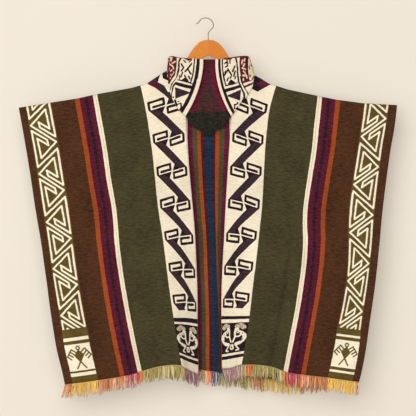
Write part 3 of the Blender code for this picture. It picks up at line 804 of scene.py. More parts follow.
# All in millimetres: across from the band's middle, then down from the repeat's turning point.
FRET_MIDDLE = 59.5
FRET_HALF = 39.5
FRET_REPEAT = 156.2
FRET_HALF_STROKE = 2.95
FRET_PATH = ((35.6, -105.6), (36.1, 17.2), (-10.4, -20.3), (-10.0, -41.6), (22.8, -10.0),
             (20.5, -78.9), (-37.2, -31.2), (37.2, 31.2), (-20.5, 78.9), (-22.8, 10.0),
             (10.0, 41.6), (10.4, 20.3), (-36.1, -17.2), (-35.6, 105.6), (35.6, 50.6),
             (36.1, 173.4))
FRET_USED = ((0, 1, 2), (6, 7, 8, 9, 10, 11, 12, 13, 14, 15))
HOOK_MIDDLE = 437.0
HOOK_HALF = 58.0
HOOK_HALF_STROKE = 3.8
HOOK_PATH = ((35, 5.8), (4.8, 6.4), (4.8, 22.6), (47.5, 22.2), (47.5, 0.5))
HOOK_SLOPE = (0.798, -0.604, 0)     # across the slanting body, between two hooks
HOOK_BODY_REACH = (-40.6, -19.25)   # how far along that its two edges lie
HOOK_CAP = (0.89, 0.457, 0)         # across the short edge beside the hook
HOOK_CAP_REACH = -1.1
HOOK_BODY_TOP = 1.2
HOOK_BODY_OUTER = -43.6             # beyond this the body runs on into the next hook
HOOK_RIM = 2.6                      # of darker yarn round the body
HOOK_TAIL = 0.004                   # share of the length by which the last hook runs on
CORE_SHORT = 0.003                  # and by which the body's lighter core stops before it


def pulled_in(path, amount):
    """The path with each corner moved inwards, from the tip of the stroke to its middle."""
    moved = [path[0]]
    for before, here, after in zip(path, path[1:], path[2:]):
        to_before = (Vector(before) - Vector(here)).normalized()
        to_after = (Vector(after) - Vector(here)).normalized()
        moved.append(tuple(Vector(here) + (to_before + to_after).normalized() * amount))
    return moved + [path[-1]]


fret_path = pulled_in(FRET_PATH, 3.0)
fret_lines = [[fret_path[i] for i in run] for run in FRET_USED]

# The square under the fret: a bird-like figure with a ring for its head, and two combs for wings
BIRD_LINES = (((21, -25), (37, -3)), ((21, -25), (7, -14)), ((26, -18), (14, -7)),
              ((31.5, -10.5), (20, -1)), ((37, -3), (26, 7)), ((0, 15), (14, 37)))
BIRD_HALF_STROKE = 2.2
BIRD_BODY = [(0, -24), (16, -5), (0, 20), (-16, -5)]
BIRD_RING = ((0, -28, 0), 5.2, 2.2)     # its centre, its radius, and half of its stroke
# The square under the hooks: two dancers that face each other, across from the middle as it
# hangs there, where the band's folds take a third of its width
DANCER_SPREAD = 0.63
DANCER_BACK = ((15.4, -16.7), (24.4, -11.5), (30.8, -3.8), (32, 3.8), (28.2, 12.8), (20.5, 19.2),
               (11.5, 21.8))
DANCER_ARMS = (((7.7, -20), (7.7, 0), (2.6, 14)), ((9, -1.3), (18, -1.3), (23, -7.7)),
               ((2, 23), (4, 29.5), (4, 34.6), (-1, 37)),
               ((11.5, 25.6), (15.4, 32), (20.5, 39.7), (12.8, 41)))
DANCER_SPOTS = (((11.5, -6.4), (19.2, -12.8)), ((13.5, -17), (14, -16.5)), ((26, -10), (26.5, -9)),
                ((23, 13), (28, 8)), ((20.5, -22.4), (34.6, -14)))
DANCER_PLUME = ((13, -33), (20, -36), (27, -29))
DANCER_FACE = (11.5, -24.5, 0)
FACE_RADIUS = 5.0
PLUME_STROKE, BACK_STROKE, ARM_STROKE, SPOT_STROKE = 6.4, 4.8, 2.1, 1.4     # halves of strokes
print("fret strokes:", sum(len(line) - 1 for line in fret_lines))


# %% The striped cloth
def folded(dye, across, length, start, repeat):
    """A place in a repeat that looks the same turned half round, brought into its first half."""
    turn = dye.math("FRACT", dye.math("DIVIDE", dye.minus(length, start), repeat))
    flip = dye.scaled(dye.more(turn, 0.5), -2.0, 1.0)
    down = dye.times(dye.math("PINGPONG", turn, 0.5), repeat)
    return dye.pair(dye.times(across, flip), down)


def in_square(dye, across, length, bars, spread=1.0):
    """A place in the bordered square of a band, from its middle, with its two halves folded."""
    middle = (bars[2] + bars[3]) / 2 * CLOTH_LENGTH
    return dye.pair(dye.times(dye.math("ABSOLUTE", across), spread), dye.minus(length, middle))


def barred(dye, share, marks, ground, bar):
    """A ground with bars across it, which start and end at the marks by turns."""
    shades = [bar if i % 2 else ground for i in range(len(marks) + 1)]
    return dye.stripes(share, 1.0, tuple(zip((0, *marks), shades)))


def weave_fret(dye, across, length, share, chart):
    """The outer band's colour: the fret, and the bordered square with the bird below it."""
    spot = folded(dye, across, length, chart["fret_turn"] * CLOTH_LENGTH, FRET_REPEAT)
    fret = dye.drawn(spot, fret_lines, FRET_HALF_STROKE)
    fret = dye.times(fret, dye.less(share, chart["fret_end"]))
    bars = chart["fret_bars"]
    band = dye.mix(fret, barred(dye, share, bars, OLIVE, BRIGHT_CREAM), BRIGHT_CREAM)
    spot = in_square(dye, across, length, bars)
    centre, radius, half = BIRD_RING
    bird = dye.math("COMPARE", dye.vector("DISTANCE", spot, centre), radius, half)
    bird = dye.most(bird, dye.inside(spot, BIRD_BODY))
    bird = dye.most(bird, dye.drawn(spot, BIRD_LINES, BIRD_HALF_STROKE))
    return dye.mix(bird, band, OLIVE)


def weave_hooks(dye, across, length, share, chart):
    """The inner band's colour: the hooks, and the bordered square with the dancers below them."""
    spot = folded(dye, across, length, chart["hook_turn"] * CLOTH_LENGTH, chart["hook_repeat"])
    slope = dye.vector("DOT_PRODUCT", spot, HOOK_SLOPE)
    cap = dye.vector("DOT_PRODUCT", spot, HOOK_CAP)
    aside, down = dye.split(spot)
    near, far = HOOK_BODY_REACH
    high = dye.most(dye.less(slope, far), dye.less(cap, HOOK_CAP_REACH))
    below = dye.most(dye.more(down, HOOK_BODY_TOP), dye.less(aside, HOOK_BODY_OUTER))
    body = dye.times(dye.times(dye.more(slope, near), high), below)
    core = dye.times(dye.math("COMPARE", slope, (near + far) / 2, (far - near) / 2 - HOOK_RIM),
                     dye.more(down, HOOK_BODY_TOP + HOOK_RIM))
    hooks = dye.drawn(spot, [HOOK_PATH], HOOK_HALF_STROKE)
    band = barred(dye, share, chart["hook_bars"], CREAM, HOOK_DARK)
    for shape, shade, past in ((body, HOOK_DARK, 0.0), (core, HOOK_BODY, -CORE_SHORT),
                               (hooks, HOOK_DARK, HOOK_TAIL)):
        ends = dye.less(share, chart["hook_end"] + past)
        band = dye.mix(dye.times(shape, ends), band, shade)
    for shade, *corners in chart["collar"]:
        band = dye.mix(dye.inside(dye.pair(across, length), corners), band, shade)
    spot = in_square(dye, across, length, chart["hook_bars"], DANCER_SPREAD)
    mottle = dye.more(dye.noise(spot, 0.32, 1.0), 0.5)
    plume = dye.mix(mottle, PLUME_GREY, CREAM_SHADE)
    band = dye.mix(dye.drawn(spot, (DANCER_PLUME,), PLUME_STROKE), band, plume)
    limbs = dye.most(dye.drawn(spot, (DANCER_BACK,), BACK_STROKE),
                     dye.drawn(spot, DANCER_ARMS, ARM_STROKE))
    limbs = dye.most(limbs, dye.less(dye.vector("DISTANCE", spot, DANCER_FACE), FACE_RADIUS))
    band = dye.mix(limbs, band, CREAM)
    return dye.mix(dye.drawn(spot, DANCER_SPOTS, SPOT_STROKE), band, HOOK_DARK)


def weave_cloth(name, chart):
    """The material of a panel, with the bands of one side's chart."""
    dye = Dye(name)
    flat = dye.chart(CLOTH_LENGTH)
    point = dye.threads(flat, 0.05, (0.8, 0.9, 1))
    across, length = dye.split(point)
    share = dye.math("DIVIDE", length, CLOTH_LENGTH)
    colour = dye.stripes(across, STRIPES_REACH, STRIPES)
    for middle, half, weave in ((FRET_MIDDLE, FRET_HALF, weave_fret),
                                (HOOK_MIDDLE, HOOK_HALF, weave_hooks)):
        aside = dye.minus(across, middle)
        band = weave(dye, aside, length, share, chart)
        colour = dye.mix(dye.math("COMPARE", aside, 0.0, half), colour, band)
    return dye.weave(flat, colour)


striped_left = weave_cloth("striped_cloth_left", LEFT_CHART)
striped_right = weave_cloth("striped_cloth_right", RIGHT_CHART)
for panel, cloth in ((front_left, striped_left), (front_right, striped_right),
                     (back, striped_left)):
    panel.data.materials.append(cloth)
print("striped cloth:", len(striped_left.node_tree.nodes), "nodes")

# %% [markdown]
# ## The hood
# Two sides in the figured cloth and a maroon piece that runs from the tip inside the opening,
# over the top, to the crown that hangs behind. A side's chart starts at its border beside the
# opening and runs round to the back, so that the border's stripes keep to its edge. The top edge
# is turned in over a small round, as a hem would be.

# %% Hood measures
# For each column of a side, border to back: side, drop and depth of the top edge, the same at
# the neck seam, and how far the line between them bows outwards
HOOD_SIDES = {
    -1: ((16, 128, -14.0, 72, 308, -13.4, -14), (28, 128, -14.4, 76, 302, -13.8, -12),
        (40, 127, -14.6, 83, 298, -14.0, -8), (64, 126, -14.6, 98, 281, -14.2, 0),
        (90, 124, -14.4, 115, 250, -14.0, 4), (109, 119.5, -14.0, 121, 228, -13.6, 0),
        (119, 119, -12.8, 126, 205, -13.4, -1), (123.4, 120, -9.6, 128, 171, -12.4, -1),
        (125.4, 121.5, -5.0, 129.4, 165.0, -7.4, -1), (126, 122, 0.0, 130, 162.0, 0.0, -1),
        (125.4, 121.5, 5.0, 129.4, 165.0, 7.4, -1), (123.4, 120.5, 10.0, 128, 171, 12.4, -1),
        (118, 121, 13.4, 124, 182, 12.6, 0), (104, 121, 14.0, 104, 192, 12.4, 0),
        (84, 122, 14.4, 82, 197, 12.4, 0)),
    1: ((22, 128, -14.0, 72, 308, -13.4, -14), (33, 128, -14.4, 77, 302, -13.8, -12),
        (44, 127, -14.6, 83, 294, -14.0, -8), (66, 124, -14.6, 99, 268, -14.2, 0),
        (90, 120, -14.4, 118, 250, -14.0, -3), (110, 118, -14.0, 131, 230, -13.6, -2),
        (121, 118, -12.8, 139, 214, -13.4, 0), (126.4, 119, -9.6, 143, 185, -12.4, 0),
        (128.6, 120.5, -5.0, 144.4, 178.5, -7.4, 0), (129.4, 121, 0.0, 145, 176.0, 0.0, 0),
        (128.6, 120.5, 5.0, 144.4, 178.5, 7.4, 0), (126.4, 119.5, 10.0, 142, 185, 12.4, 0),
        (120, 120, 13.4, 134, 190, 12.6, 0), (106, 120, 14.0, 108, 195, 12.4, 0),
        (84, 121, 14.4, 82, 198, 12.4, 0)),
}
HOOD_ROWS = 30
TURN_RADIUS = 2.4
TURN_LENGTH = 12.0
TURN_STEPS = 6
# The centre piece from its tip to the crown: drop, depth and half width
HOOD_CENTRE = ((368, 3.4, 5), (358, 2.4, 20), (345, 1.4, 40), (328, 0.4, 58), (308, 0.0, 70),
    (280, 1.0, 74), (240, 2.6, 75), (205, 4.0, 75), (185, 5.2, 75), (166, 7.6, 75),
    (147, 8.6, 75), (134, 9.6, 74), (128.6, 13.8, 76), (133, 18.6, 88), (150, 20.4, 108),
    (185, 22.0, 121), (230, 26.5, 127), (280, 31.0, 126), (325, 33.0, 116), (358, 31.5, 96),
    (378, 27.0, 66), (386, 22.5, 34))
CROWN_CURL = 6.0
CROWN_DEPTH = 19
CURL_REACH = 8


def refined(table, parts):
    """The table's rows with straight steps between them."""
    rows = [table[0]]
    for low, high in zip(table, table[1:]):
        rows += [tuple(a + (b - a) * i / parts for a, b in zip(low, high))
                 for i in range(1, parts + 1)]
    return rows


# %% Hood sides
def lay_hood_side(name, sign):
    columns = refined(HOOD_SIDES[sign], 4)
    turn = [math.pi * i / TURN_STEPS for i in range(TURN_STEPS + 1)]
    rows = HOOD_ROWS + len(turn) + 1

    def on_side(column, row):
        top_side, top_drop, top_depth, side, drop, depth, bow = columns[column]
        crest = top_drop + WALL / 2 + TURN_RADIUS
        share = min(row / HOOD_ROWS, 1.0)
        bulge = bow * 4 * share * (1 - share)
        return (side + (top_side - side) * share + bulge, depth + (top_depth - depth) * share,
                drop + (crest - drop) * share)

    def spot(column, row):
        around = 0.0
        for i in range(column):
            around += math.dist(on_side(i, row), on_side(i + 1, row))
        side, depth, drop = on_side(column, row)
        if row < HOOD_ROWS:
            return place(sign, side, depth, drop), (around * MM, drop * MM)
        low, high = columns[max(column - 1, 0)], columns[min(column + 1, len(columns) - 1)]
        run = math.hypot(high[0] - low[0], high[2] - low[2])
        inward = (-(high[2] - low[2]) / run, (high[0] - low[0]) / run)
        angle = turn[min(row - HOOD_ROWS, TURN_STEPS)]
        step = TURN_RADIUS * (1 - math.cos(angle))
        below = TURN_LENGTH if row == rows - 1 else 0
        point = place(sign, side + inward[0] * step, depth + inward[1] * step,
                      drop - TURN_RADIUS * math.sin(angle) + below)
        return point, (around * MM, (drop - TURN_RADIUS * angle) * MM)

    return lay_sheet(name, len(columns), rows, spot)


def lay_hood_back():
    rows = refined(HOOD_CENTRE, 4)
    columns = 33
    runs = [0.0]
    for low, high in zip(rows, rows[1:]):
        runs.append(runs[-1] + math.dist(low[:2], high[:2]))

    def spot(column, row):
        drop, depth, half = rows[row]
        across = 2 * column / (columns - 1) - 1
        curl = CROWN_CURL * smooth((depth - CROWN_DEPTH) / CURL_REACH)
        point = place(1, across * half, depth - curl * abs(across) ** 3, drop)
        return point, (across * half * MM, runs[row] * MM)

    return lay_sheet("hood_cloth_back", columns, len(rows), spot)


hood_left = lay_hood_side("hood_cloth_left", -1)
hood_right = lay_hood_side("hood_cloth_right", 1)
hood_back = lay_hood_back()

# %% [markdown]
# ## The hood's cloth
# The sides use the figured cloth crosswise: next to the opening a cream and a dark border, then a
# panel with crossed figures, a double line, and a maroon strip with small tan figures. The
# centre piece is maroon with a dark line down its middle, and darkens to a mottled brown inside
# the hood, where the warp's other colours come through. Its tip there is darker still: dark
# cloth, and painted shade deep inside the hood.

# %% Hood charts
# All in millimetres: from the border's edge round the side, and drop.
HOOD_DARK = srgb(40, 20, 32)
TAN = srgb(236, 212, 172)
HOOD_MAROON = srgb(100, 26, 48)
HOOD_SPECK = srgb(95, 32, 38)
HOOD_BROWN = srgb(54, 42, 40)
HOOD_MOSS = srgb(52, 52, 38)
# The tip inside the hood: dark cloth, made darker as painted shade deep in the hood
HOOD_TIP_DARK_AND_SHADE = srgb(34, 34, 29)
TIP_MOSS = srgb(44, 46, 31)
TIP_SLATE = srgb(24, 35, 44)
TIP_RUST = srgb(62, 32, 31)
# A side's border: where its cream, dark, cream and plum stripes end, how fast the first and the
# others narrow with the drop, and the drop at the edge below which it has only the first two.
# Then where the maroon strip starts, the drop from which it leans away, how much it leans, its
# width, and the drop where it ends.
LEFT_HOOD = {"border": (10.4, 20.7, 25.1, 29.4), "tapers": (-0.001, -0.0009), "square": 210,
             "strip": (83.5, 179.5, 0.78, 70), "strip_end": 206}
RIGHT_HOOD = {"border": (8.5, 15.7, 19.2, 23.8), "tapers": (0.0009, -0.0005), "square": 217,
              "strip": (77, 195, 0.28, 27.7), "strip_end": 207}
BORDER_DROP = 135       # where the border's stripes have just the widths given
SQUARE_LEAN = 0.24      # how much higher its lower end lies for each millimetre round the side
# The centre piece: the dark middle's half width, what it widens by inside, and its ragged edge
DARK_HALF, DARK_WIDENS, DARK_RAGGED = 12, 39.6, 14
TIP_LENGTH, TIP_RAGGED = 88, 26     # how far the mottled tip reaches, and its ragged edge
# Each row is a colour, half the stroke's width, and the places that the stroke joins
LEFT_STROKES = (
    (HOOD_DARK, 2.8, (36, 143), (53, 167)), (HOOD_DARK, 2.5, (45, 161), (34, 175)),
    (HOOD_DARK, 2.6, (68, 143), (60, 156), (66, 165)), (HOOD_DARK, 2.3, (61, 170), (63, 184)),
    (HOOD_DARK, 2.2, (40, 182), (34, 191)), (HOOD_DARK, 2.2, (61, 133), (54, 139)),
    (HOOD_MAROON, 3.2, (54, 126), (46, 131), (38, 127)), (HOOD_DARK, 2.0, (48, 186), (53, 179)),
    (HOOD_MAROON, 2.0, (44, 138), (36, 131)), (HOOD_DARK, 1.7, (69, 176), (66, 190)),
    (PLUM, 2.2, (69, 193.5), (24, 204.5)),
    (CREAM, 2.2, (68.5, 197.2), (18.6, 210.6)), (HOOD_DARK, 5.0, (74.5, 204.8), (15, 218.7)),
    (CREAM, 2.6, (73.5, 211.7), (17, 228)),
    (HOOD_DARK, 2.9, (69.3, 124), (77, 137), (75, 152), (75.3, 164), (76, 183), (75.7, 192)),
    (HOOD_DARK, 3.6, (75.7, 192), (82.5, 200), (90.3, 208), (92, 222)),
    (CREAM, 2.2, (75, 124), (81.4, 136), (81, 152), (80.5, 174), (82, 184), (84, 192), (90, 200),
     (98, 207)),
    (CREAM, 2.1, (70, 172), (73, 186), (75.5, 194), (81.4, 203.6), (85, 212), (86.3, 221),
     (89, 232.6), (82, 241)),
    (HOOD_DARK, 3.5, (74.6, 203.6), (78.7, 209.4), (79.6, 215), (79.3, 222), (78.8, 232.6),
     (78, 243), (73, 249)),
    (HOOD_DARK, 3.0, (56.5, 257), (41.4, 274.5)), (HOOD_DARK, 2.6, (66.7, 247.2), (66, 248)),
    (HOOD_DARK, 2.3, (43.2, 260.5), (42.6, 261)),
    (HOOD_DARK, 2.2, (40.2, 269.8), (33.2, 266.3), (25.6, 278), (26, 288.4)),
    (TAN, 2.8, (112, 122), (99, 123), (103, 133)), (TAN, 2.6, (98, 141), (88, 136)),
    (TAN, 2.6, (106, 146), (96, 151), (93, 158)), (TAN, 2.0, (90, 168), (93, 176)),
    (TAN, 2.6, (106, 166), (99, 162)), (TAN, 2.4, (98, 181), (104, 176)),
    (TAN, 1.9, (112, 139), (108, 146)), (TAN, 2.0, (106, 187), (101, 190)),
    (TAN, 2.0, (118, 128), (114, 134)), (TAN, 2.0, (112, 156), (116, 163)),
    (HOOD_MAROON, 2.6, (56, 125), (74, 123.5), (93, 119.5), (110, 118.5), (135, 120)),
)
LEFT_SHAPES = ((HOOD_DARK, (61.9, 195), (47.6, 184), (32.2, 201.5)),
               (HOOK_BODY, (73, 215.5), (17, 233.6), (56.5, 253)))
RIGHT_STROKES = (
    (HOOD_DARK, 2.8, (38, 159), (47, 177)), (HOOD_DARK, 2.5, (37, 163), (25, 179)),
    (HOOD_DARK, 2.6, (62, 150), (53, 167)), (HOOD_DARK, 2.4, (61, 166), (54, 182)),
    (HOOD_DARK, 2.3, (29, 142), (36, 137), (38, 150), (31, 153)),
    (HOOD_DARK, 2.2, (36, 187), (30, 196)),
    (HOOD_DARK, 2.1, (47, 181), (41, 188)), (HOOD_MAROON, 3.8, (28, 127), (47, 127)),
    (HOOD_MAROON, 2.2, (36, 130), (39, 143)), (HOOD_MAROON, 2.2, (45, 130), (46, 141)),
    (HOOD_DARK, 1.8, (30, 165), (28, 171)), (HOOD_DARK, 1.8, (56, 190), (60, 182)),
    (PLUM, 2.2, (21, 211.7), (59.6, 203.5)),
    (CREAM, 2.2, (14.3, 219.8), (60.5, 206.4)), (HOOD_DARK, 5.0, (11.4, 228.5), (63.9, 214.6)),
    (CREAM, 2.8, (9.8, 239.5), (64.5, 220.9)),
    (HOOD_DARK, 2.8, (63, 121), (68.8, 141), (69.2, 164), (67.3, 181.5), (66, 199), (68.8, 214),
     (69.5, 222)),
    (CREAM, 2.3, (68.3, 121), (72.6, 135), (74.2, 158), (73.2, 177), (73.5, 193), (75.2, 208),
     (75.7, 220)),
    (HOOD_DARK, 2.4, (75.8, 184), (75.9, 202), (78.8, 214), (80.5, 223), (85.7, 234), (86, 240)),
    (CREAM, 1.7, (75.7, 220), (80.7, 230), (80.4, 243), (71.2, 257)),
    (HOOD_DARK, 3.2, (69.9, 225.6), (72.2, 237), (68, 249), (58.3, 261.6)),
    (HOOD_DARK, 2.2, (41.7, 264), (35, 270), (27, 271), (21, 284)),
    (HOOD_DARK, 1.9, (33, 278), (27, 284)),
    (TAN, 2.6, (86, 131), (84, 142)), (TAN, 2.2, (93, 128), (92, 134)),
    (TAN, 2.6, (93, 143), (89, 150)), (TAN, 2.4, (85, 156), (95, 160)),
    (TAN, 2.2, (88, 166), (93, 172)), (TAN, 3.0, (85, 180), (94, 178), (97, 186)),
    (TAN, 2.0, (84, 190), (82, 195)), (HOOD_DARK, 1.6, (99, 130), (100, 150)),
    (TAN, 14.0, (121, 110), (124, 168)), (TAN, 11.0, (118, 172), (124, 182)),
    (HOOD_MAROON, 2.6, (118.6, 146.6), (133.4, 151.3)), (HOOD_MAROON, 2.3, (109, 178), (109, 184)),
    (HOOD_MAROON, 2.4, (113, 123), (116, 132)), (HOOD_MAROON, 2.2, (108, 150), (110, 160)),
    (HOOD_MAROON, 2.0, (122, 134), (130, 138)),
    (HOOD_MAROON, 3.0, (104, 199), (142, 183)),
    (CREAM, 2.9, (81, 207), (140, 192)), (HOOD_MAROON, 3.0, (81, 215), (122, 202)),
    (HOOD_MAROON, 2.6, (46, 124), (70, 121.5), (92, 118), (110, 117.5), (135, 119)),
)
RIGHT_SHAPES = ((HOOD_DARK, (56.6, 202.4), (43, 191), (26.3, 210.5)),
                (HOOK_BODY, (13, 243.5), (66.5, 223), (51, 259)))


# %% The hood's cloth
def weave_hood_side(name, chart, strokes, shapes):
    dye = Dye(name)
    flat = dye.chart()
    point = dye.threads(flat, 0.09, (1.1, 1.2, 1))
    edge, drop = dye.split(point)
    start, lean_from, lean, width = chart["strip"]
    leaning = dye.most(dye.scaled(drop, lean, -lean_from * lean), 0.0)
    past = dye.minus(edge, dye.math("ADD", leaning, start))
    strip = dye.math("COMPARE", past, width / 2, width / 2)
    strip = dye.times(strip, dye.less(drop, chart["strip_end"]))
    colour = dye.mix(strip, CREAM, HOOD_MAROON)
    for shade, *corners in shapes:
        colour = dye.mix(dye.inside(point, corners), colour, shade)
    rim, border = [dye.times(edge, dye.scaled(drop, taper, 1 - BORDER_DROP * taper))
                   for taper in chart["tapers"]]
    square = dye.less(dye.scaled(edge, SQUARE_LEAN, drop), chart["square"])
    cream_end, dark_end, inner_end, plum_end = chart["border"]
    colour = dye.mix(dye.times(square, dye.less(border, plum_end)), colour, PLUM)
    for shade, half, *line in strokes:
        colour = dye.mix(dye.drawn(point, (line,), half), colour, shade)
    colour = dye.mix(dye.times(square, dye.less(border, inner_end)), colour, CREAM)
    colour = dye.mix(dye.less(border, dark_end), colour, HOOD_DARK)
    colour = dye.mix(dye.less(rim, cream_end), colour, CREAM)
    return dye.weave(flat, colour)


def weave_hood_back():
    """Maroon sides, a dark middle that widens to the whole tip inside, there partly painted shade.
    """
    dye = Dye("hood_centre_cloth")
    flat = dye.chart()
    across, run = dye.split(flat)
    streaks = dye.noise(dye.vector("MULTIPLY", flat, (0.09, 0.42, 1)), 1.0, 3.0, 0.7)
    specks = dye.noise(dye.vector("MULTIPLY", flat, (0.16, 0.2, 1)), 1.0, 2.0, 0.6)
    patches = dye.noise(dye.vector("MULTIPLY", flat, (0.08, 0.09, 1)), 1.0, 2.0, 0.5)
    aside = dye.math("ADD", dye.math("ABSOLUTE", across), dye.times(specks, DARK_RAGGED))
    widen = dye.scaled(run, -0.01, 1.71, clamp=True)
    middle = dye.scaled(widen, DARK_WIDENS, DARK_HALF)
    dark = dye.scaled(dye.minus(middle, aside), 0.16, 0.5, clamp=True)
    redder = dye.scaled(run, 0.001, 0.44)
    ground = dye.mix(dye.more(streaks, redder), HOOD_BROWN, HOOD_SPECK)
    ground = dye.mix(dye.more(specks, 0.56), ground, HOOD_MOSS)
    colour = dye.mix(dye.times(dark, 0.86), HOOD_MAROON, ground)
    # The tip deep inside the hood: woven dark, and painted shade
    deep = HOOD_TIP_DARK_AND_SHADE
    for patch, level, shade in ((specks, 0.54, TIP_MOSS), (streaks, 0.58, TIP_SLATE),
                                (patches, 0.6, TIP_RUST)):
        deep = dye.mix(dye.more(patch, level), deep, shade)
    tip = dye.less(dye.scaled(patches, TIP_RAGGED, run), TIP_LENGTH)
    return dye.weave(flat, dye.mix(tip, colour, deep))


hood_left.data.materials.append(
    weave_hood_side("hood_figured_left", LEFT_HOOD, LEFT_STROKES, LEFT_SHAPES))
hood_right.data.materials.append(
    weave_hood_side("hood_figured_right", RIGHT_HOOD, RIGHT_STROKES, RIGHT_SHAPES))
hood_back.data.materials.append(weave_hood_back())
print("hood cloth ready")

# %% [markdown]
# ## The fringe
# At the hem the warp's yarns are left long. They come in small loose locks, so the strands of a
# lock lean together towards their tips. One strand is a slim four-sided rod with a few rings,
# copied with its own length, lean and twist, and a narrow knotted strip holds them at the hem.
# Each strand keeps in its UV map where along the hem it grows, and the colour follows from that.

# %% One strand and its copies
STRAND_RINGS = 6
STRIP_HEIGHT = 4.6
STRIP_GAP = 0.4
YARN_RADIUS = 1.32
FRINGE_LENGTH = (35.0, 45.0)
FRONT_STRANDS, BACK_STRANDS = 250, 500
LOCK_SIZE = 4           # strands that lean together
LOCK_LEAN, STRAND_LEAN = 3.4, 1.2
LOCK_PULL = (0.2, 0.6)  # share of the way that a strand's tip goes to its lock's middle
LENGTH_SPREAD = 3.5
SWAY, CURL, PROUD = 2.6, 1.3, 0.9
TIP_OUT = (-2.2, 1.4)   # how far back or forward a strand's tip hangs
THICKNESS = (0.8, 1.25)
FLARE, FLARE_POWER = 14, 24     # how far, and how suddenly, the outer strands lean outwards
TWIST = 5.0
YARN_STRAY = 3.0        # how far along the hem a strand's colour may come from
STRIP_PUFF = 0.0006
STRIP_WALL = 1.9

bpy.ops.object.select_all(action="DESELECT")
bpy.ops.mesh.primitive_cylinder_add(vertices=4, radius=1, depth=1, end_fill_type="NGON")
strand = bpy.context.object
strand.name = "one_strand"
bpy.ops.object.mode_set(mode="EDIT")
bpy.ops.mesh.select_all(action="DESELECT")
bpy.ops.object.mode_set(mode="OBJECT")
for edge in strand.data.edges:
    ends = [strand.data.vertices[i].co.z for i in edge.vertices]
    edge.select = abs(ends[0] - ends[1]) > 0.5
bpy.ops.object.mode_set(mode="EDIT")
bpy.ops.mesh.select_mode(type="EDGE")
bpy.ops.mesh.subdivide(number_cuts=STRAND_RINGS - 2)
bpy.ops.object.mode_set(mode="OBJECT")
strand_points = np.array([tuple(v.co) for v in strand.data.vertices])
strand_faces = [tuple(face.vertices) for face in strand.data.polygons]
bpy.data.objects.remove(strand)
print("strand:", len(strand_faces), "faces")


def even_stations(hem, count):
    """Points that are evenly spaced along the hem, whose own points are given."""
    table = [(0.0, *hem[0])]
    for point in hem[1:]:
        table.append((table[-1][0] + math.dist(table[-1][1:], point), *point))
    runs = [table[-1][0] * i / count for i in range(count + 1)]
    return [Vector(tuple(read(table, run, axis) for axis in (1, 2, 3))) for run in runs]


def hang_fringe(name, hem, strands, seed, flares):
    """The strip along the hem and the strands below it, as one piece."""
    rng = random.Random(seed)
    stations = even_stations(hem, strands)
    steps = len(stations) - 1

    def strip_spot(column, row):
        drop = STRIP_GAP + STRIP_HEIGHT * row / 3
        puff = STRIP_PUFF * math.sin(math.pi * row / 3) * math.cos(math.pi * column)
        point = stations[column] + Vector((0, puff, -drop * MM))
        return point, (stations[column].x, 0.0)

    fringe = lay_sheet(name, steps + 1, 4, strip_spot, STRIP_WALL)
    points = [tuple(v.co) for v in fringe.data.vertices]
    faces = [tuple(face.vertices) for face in fringe.data.polygons]
    charts = [tuple(loop.uv) for loop in fringe.data.uv_layers[0].data]
    for i in range(steps):
        if i % LOCK_SIZE == 0:
            lock_lean = rng.uniform(-LOCK_LEAN, LOCK_LEAN)
            lock_centre = stations[min(i + LOCK_SIZE // 2, steps)].x
            lock_length = rng.uniform(*FRINGE_LENGTH)
        root = (stations[i] + stations[i + 1]) / 2
        edge = i / (steps - 1)
        flare = FLARE * (flares[1] * edge ** FLARE_POWER - flares[0] * (1 - edge) ** FLARE_POWER)
        lean = (lock_lean + rng.uniform(-STRAND_LEAN, STRAND_LEAN) + flare) * MM
        lean += (lock_centre - root.x) * rng.uniform(*LOCK_PULL)
        length = (lock_length + rng.uniform(-LENGTH_SPREAD, LENGTH_SPREAD)) * MM
        sway = rng.uniform(-SWAY, SWAY) * MM
        curl = rng.uniform(-CURL, CURL) * MM
        proud = (PROUD if i % 2 else -PROUD) * MM
        out = rng.uniform(*TIP_OUT) * MM
        twist = rng.uniform(0, math.pi)
        thick = YARN_RADIUS * rng.uniform(*THICKNESS) * MM
        start = len(points)
        for x, y, z in strand_points:
            down = 0.5 - z
            spin = twist + down * TWIST
            width = thick * (1 + 0.35 * math.sin(math.pi * down)) * (1 - 0.45 * down ** 3)
            around = (x * math.cos(spin) - y * math.sin(spin)) * width
            ahead = (x * math.sin(spin) + y * math.cos(spin)) * width * 0.75
            bend = lean * down ** 1.5 + sway * math.sin(math.pi * down)
            bend += curl * math.sin(2 * math.pi * down)
            points.append((root.x + around + bend, root.y + ahead + proud + out * down,
                           root.z - (STRIP_GAP + 0.8) * MM - down * length))
        yarn = root.x + rng.gauss(0, YARN_STRAY) * MM
        for face in strand_faces:
            faces.append(tuple(index + start for index in face))
            charts += [(yarn, 0.5 - strand_points[index][2]) for index in face]
    mesh = bpy.data.meshes.new(name)
    mesh.from_pydata(points, [], faces)
    layer = mesh.uv_layers.new(name="cloth")
    for loop, chart in zip(layer.data, charts):
        loop.uv = chart
    fringe.data = mesh
    bpy.ops.object.shade_smooth()
    print(name, steps, "strands,", len(faces), "faces")
    return fringe


def front_hem(sign):
    return [front_point(sign, HALF_WIDTH * i / 60, 1)[0] for i in range(61)]


back_hem = [back_point(BACK_WIDTH * i / 120, 1)[0] for i in range(121)]
fringe_left = hang_fringe("yarn_front_left", front_hem(-1), FRONT_STRANDS, 11, (1, 0))
fringe_right = hang_fringe("yarn_front_right", front_hem(1), FRONT_STRANDS, 12, (0, 1))
fringe_back = hang_fringe("yarn_back", back_hem, BACK_STRANDS, 13, (1, 1))

# %% Yarn colours along the hem
RUST = srgb(222, 136, 76)
GOLD = srgb(255, 204, 84)
SALMON = srgb(252, 134, 74)
CRIMSON = srgb(196, 60, 82)
KHAKI = srgb(188, 170, 90)
MAUVE = srgb(166, 118, 130)
TEAL = srgb(44, 96, 128)
PALE = srgb(244, 224, 196)
# The back's gold, painted lighter than GOLD: painted light on strands in the front's shadow
GOLD_PAINTED_LIGHTER = srgb(255, 218, 100)
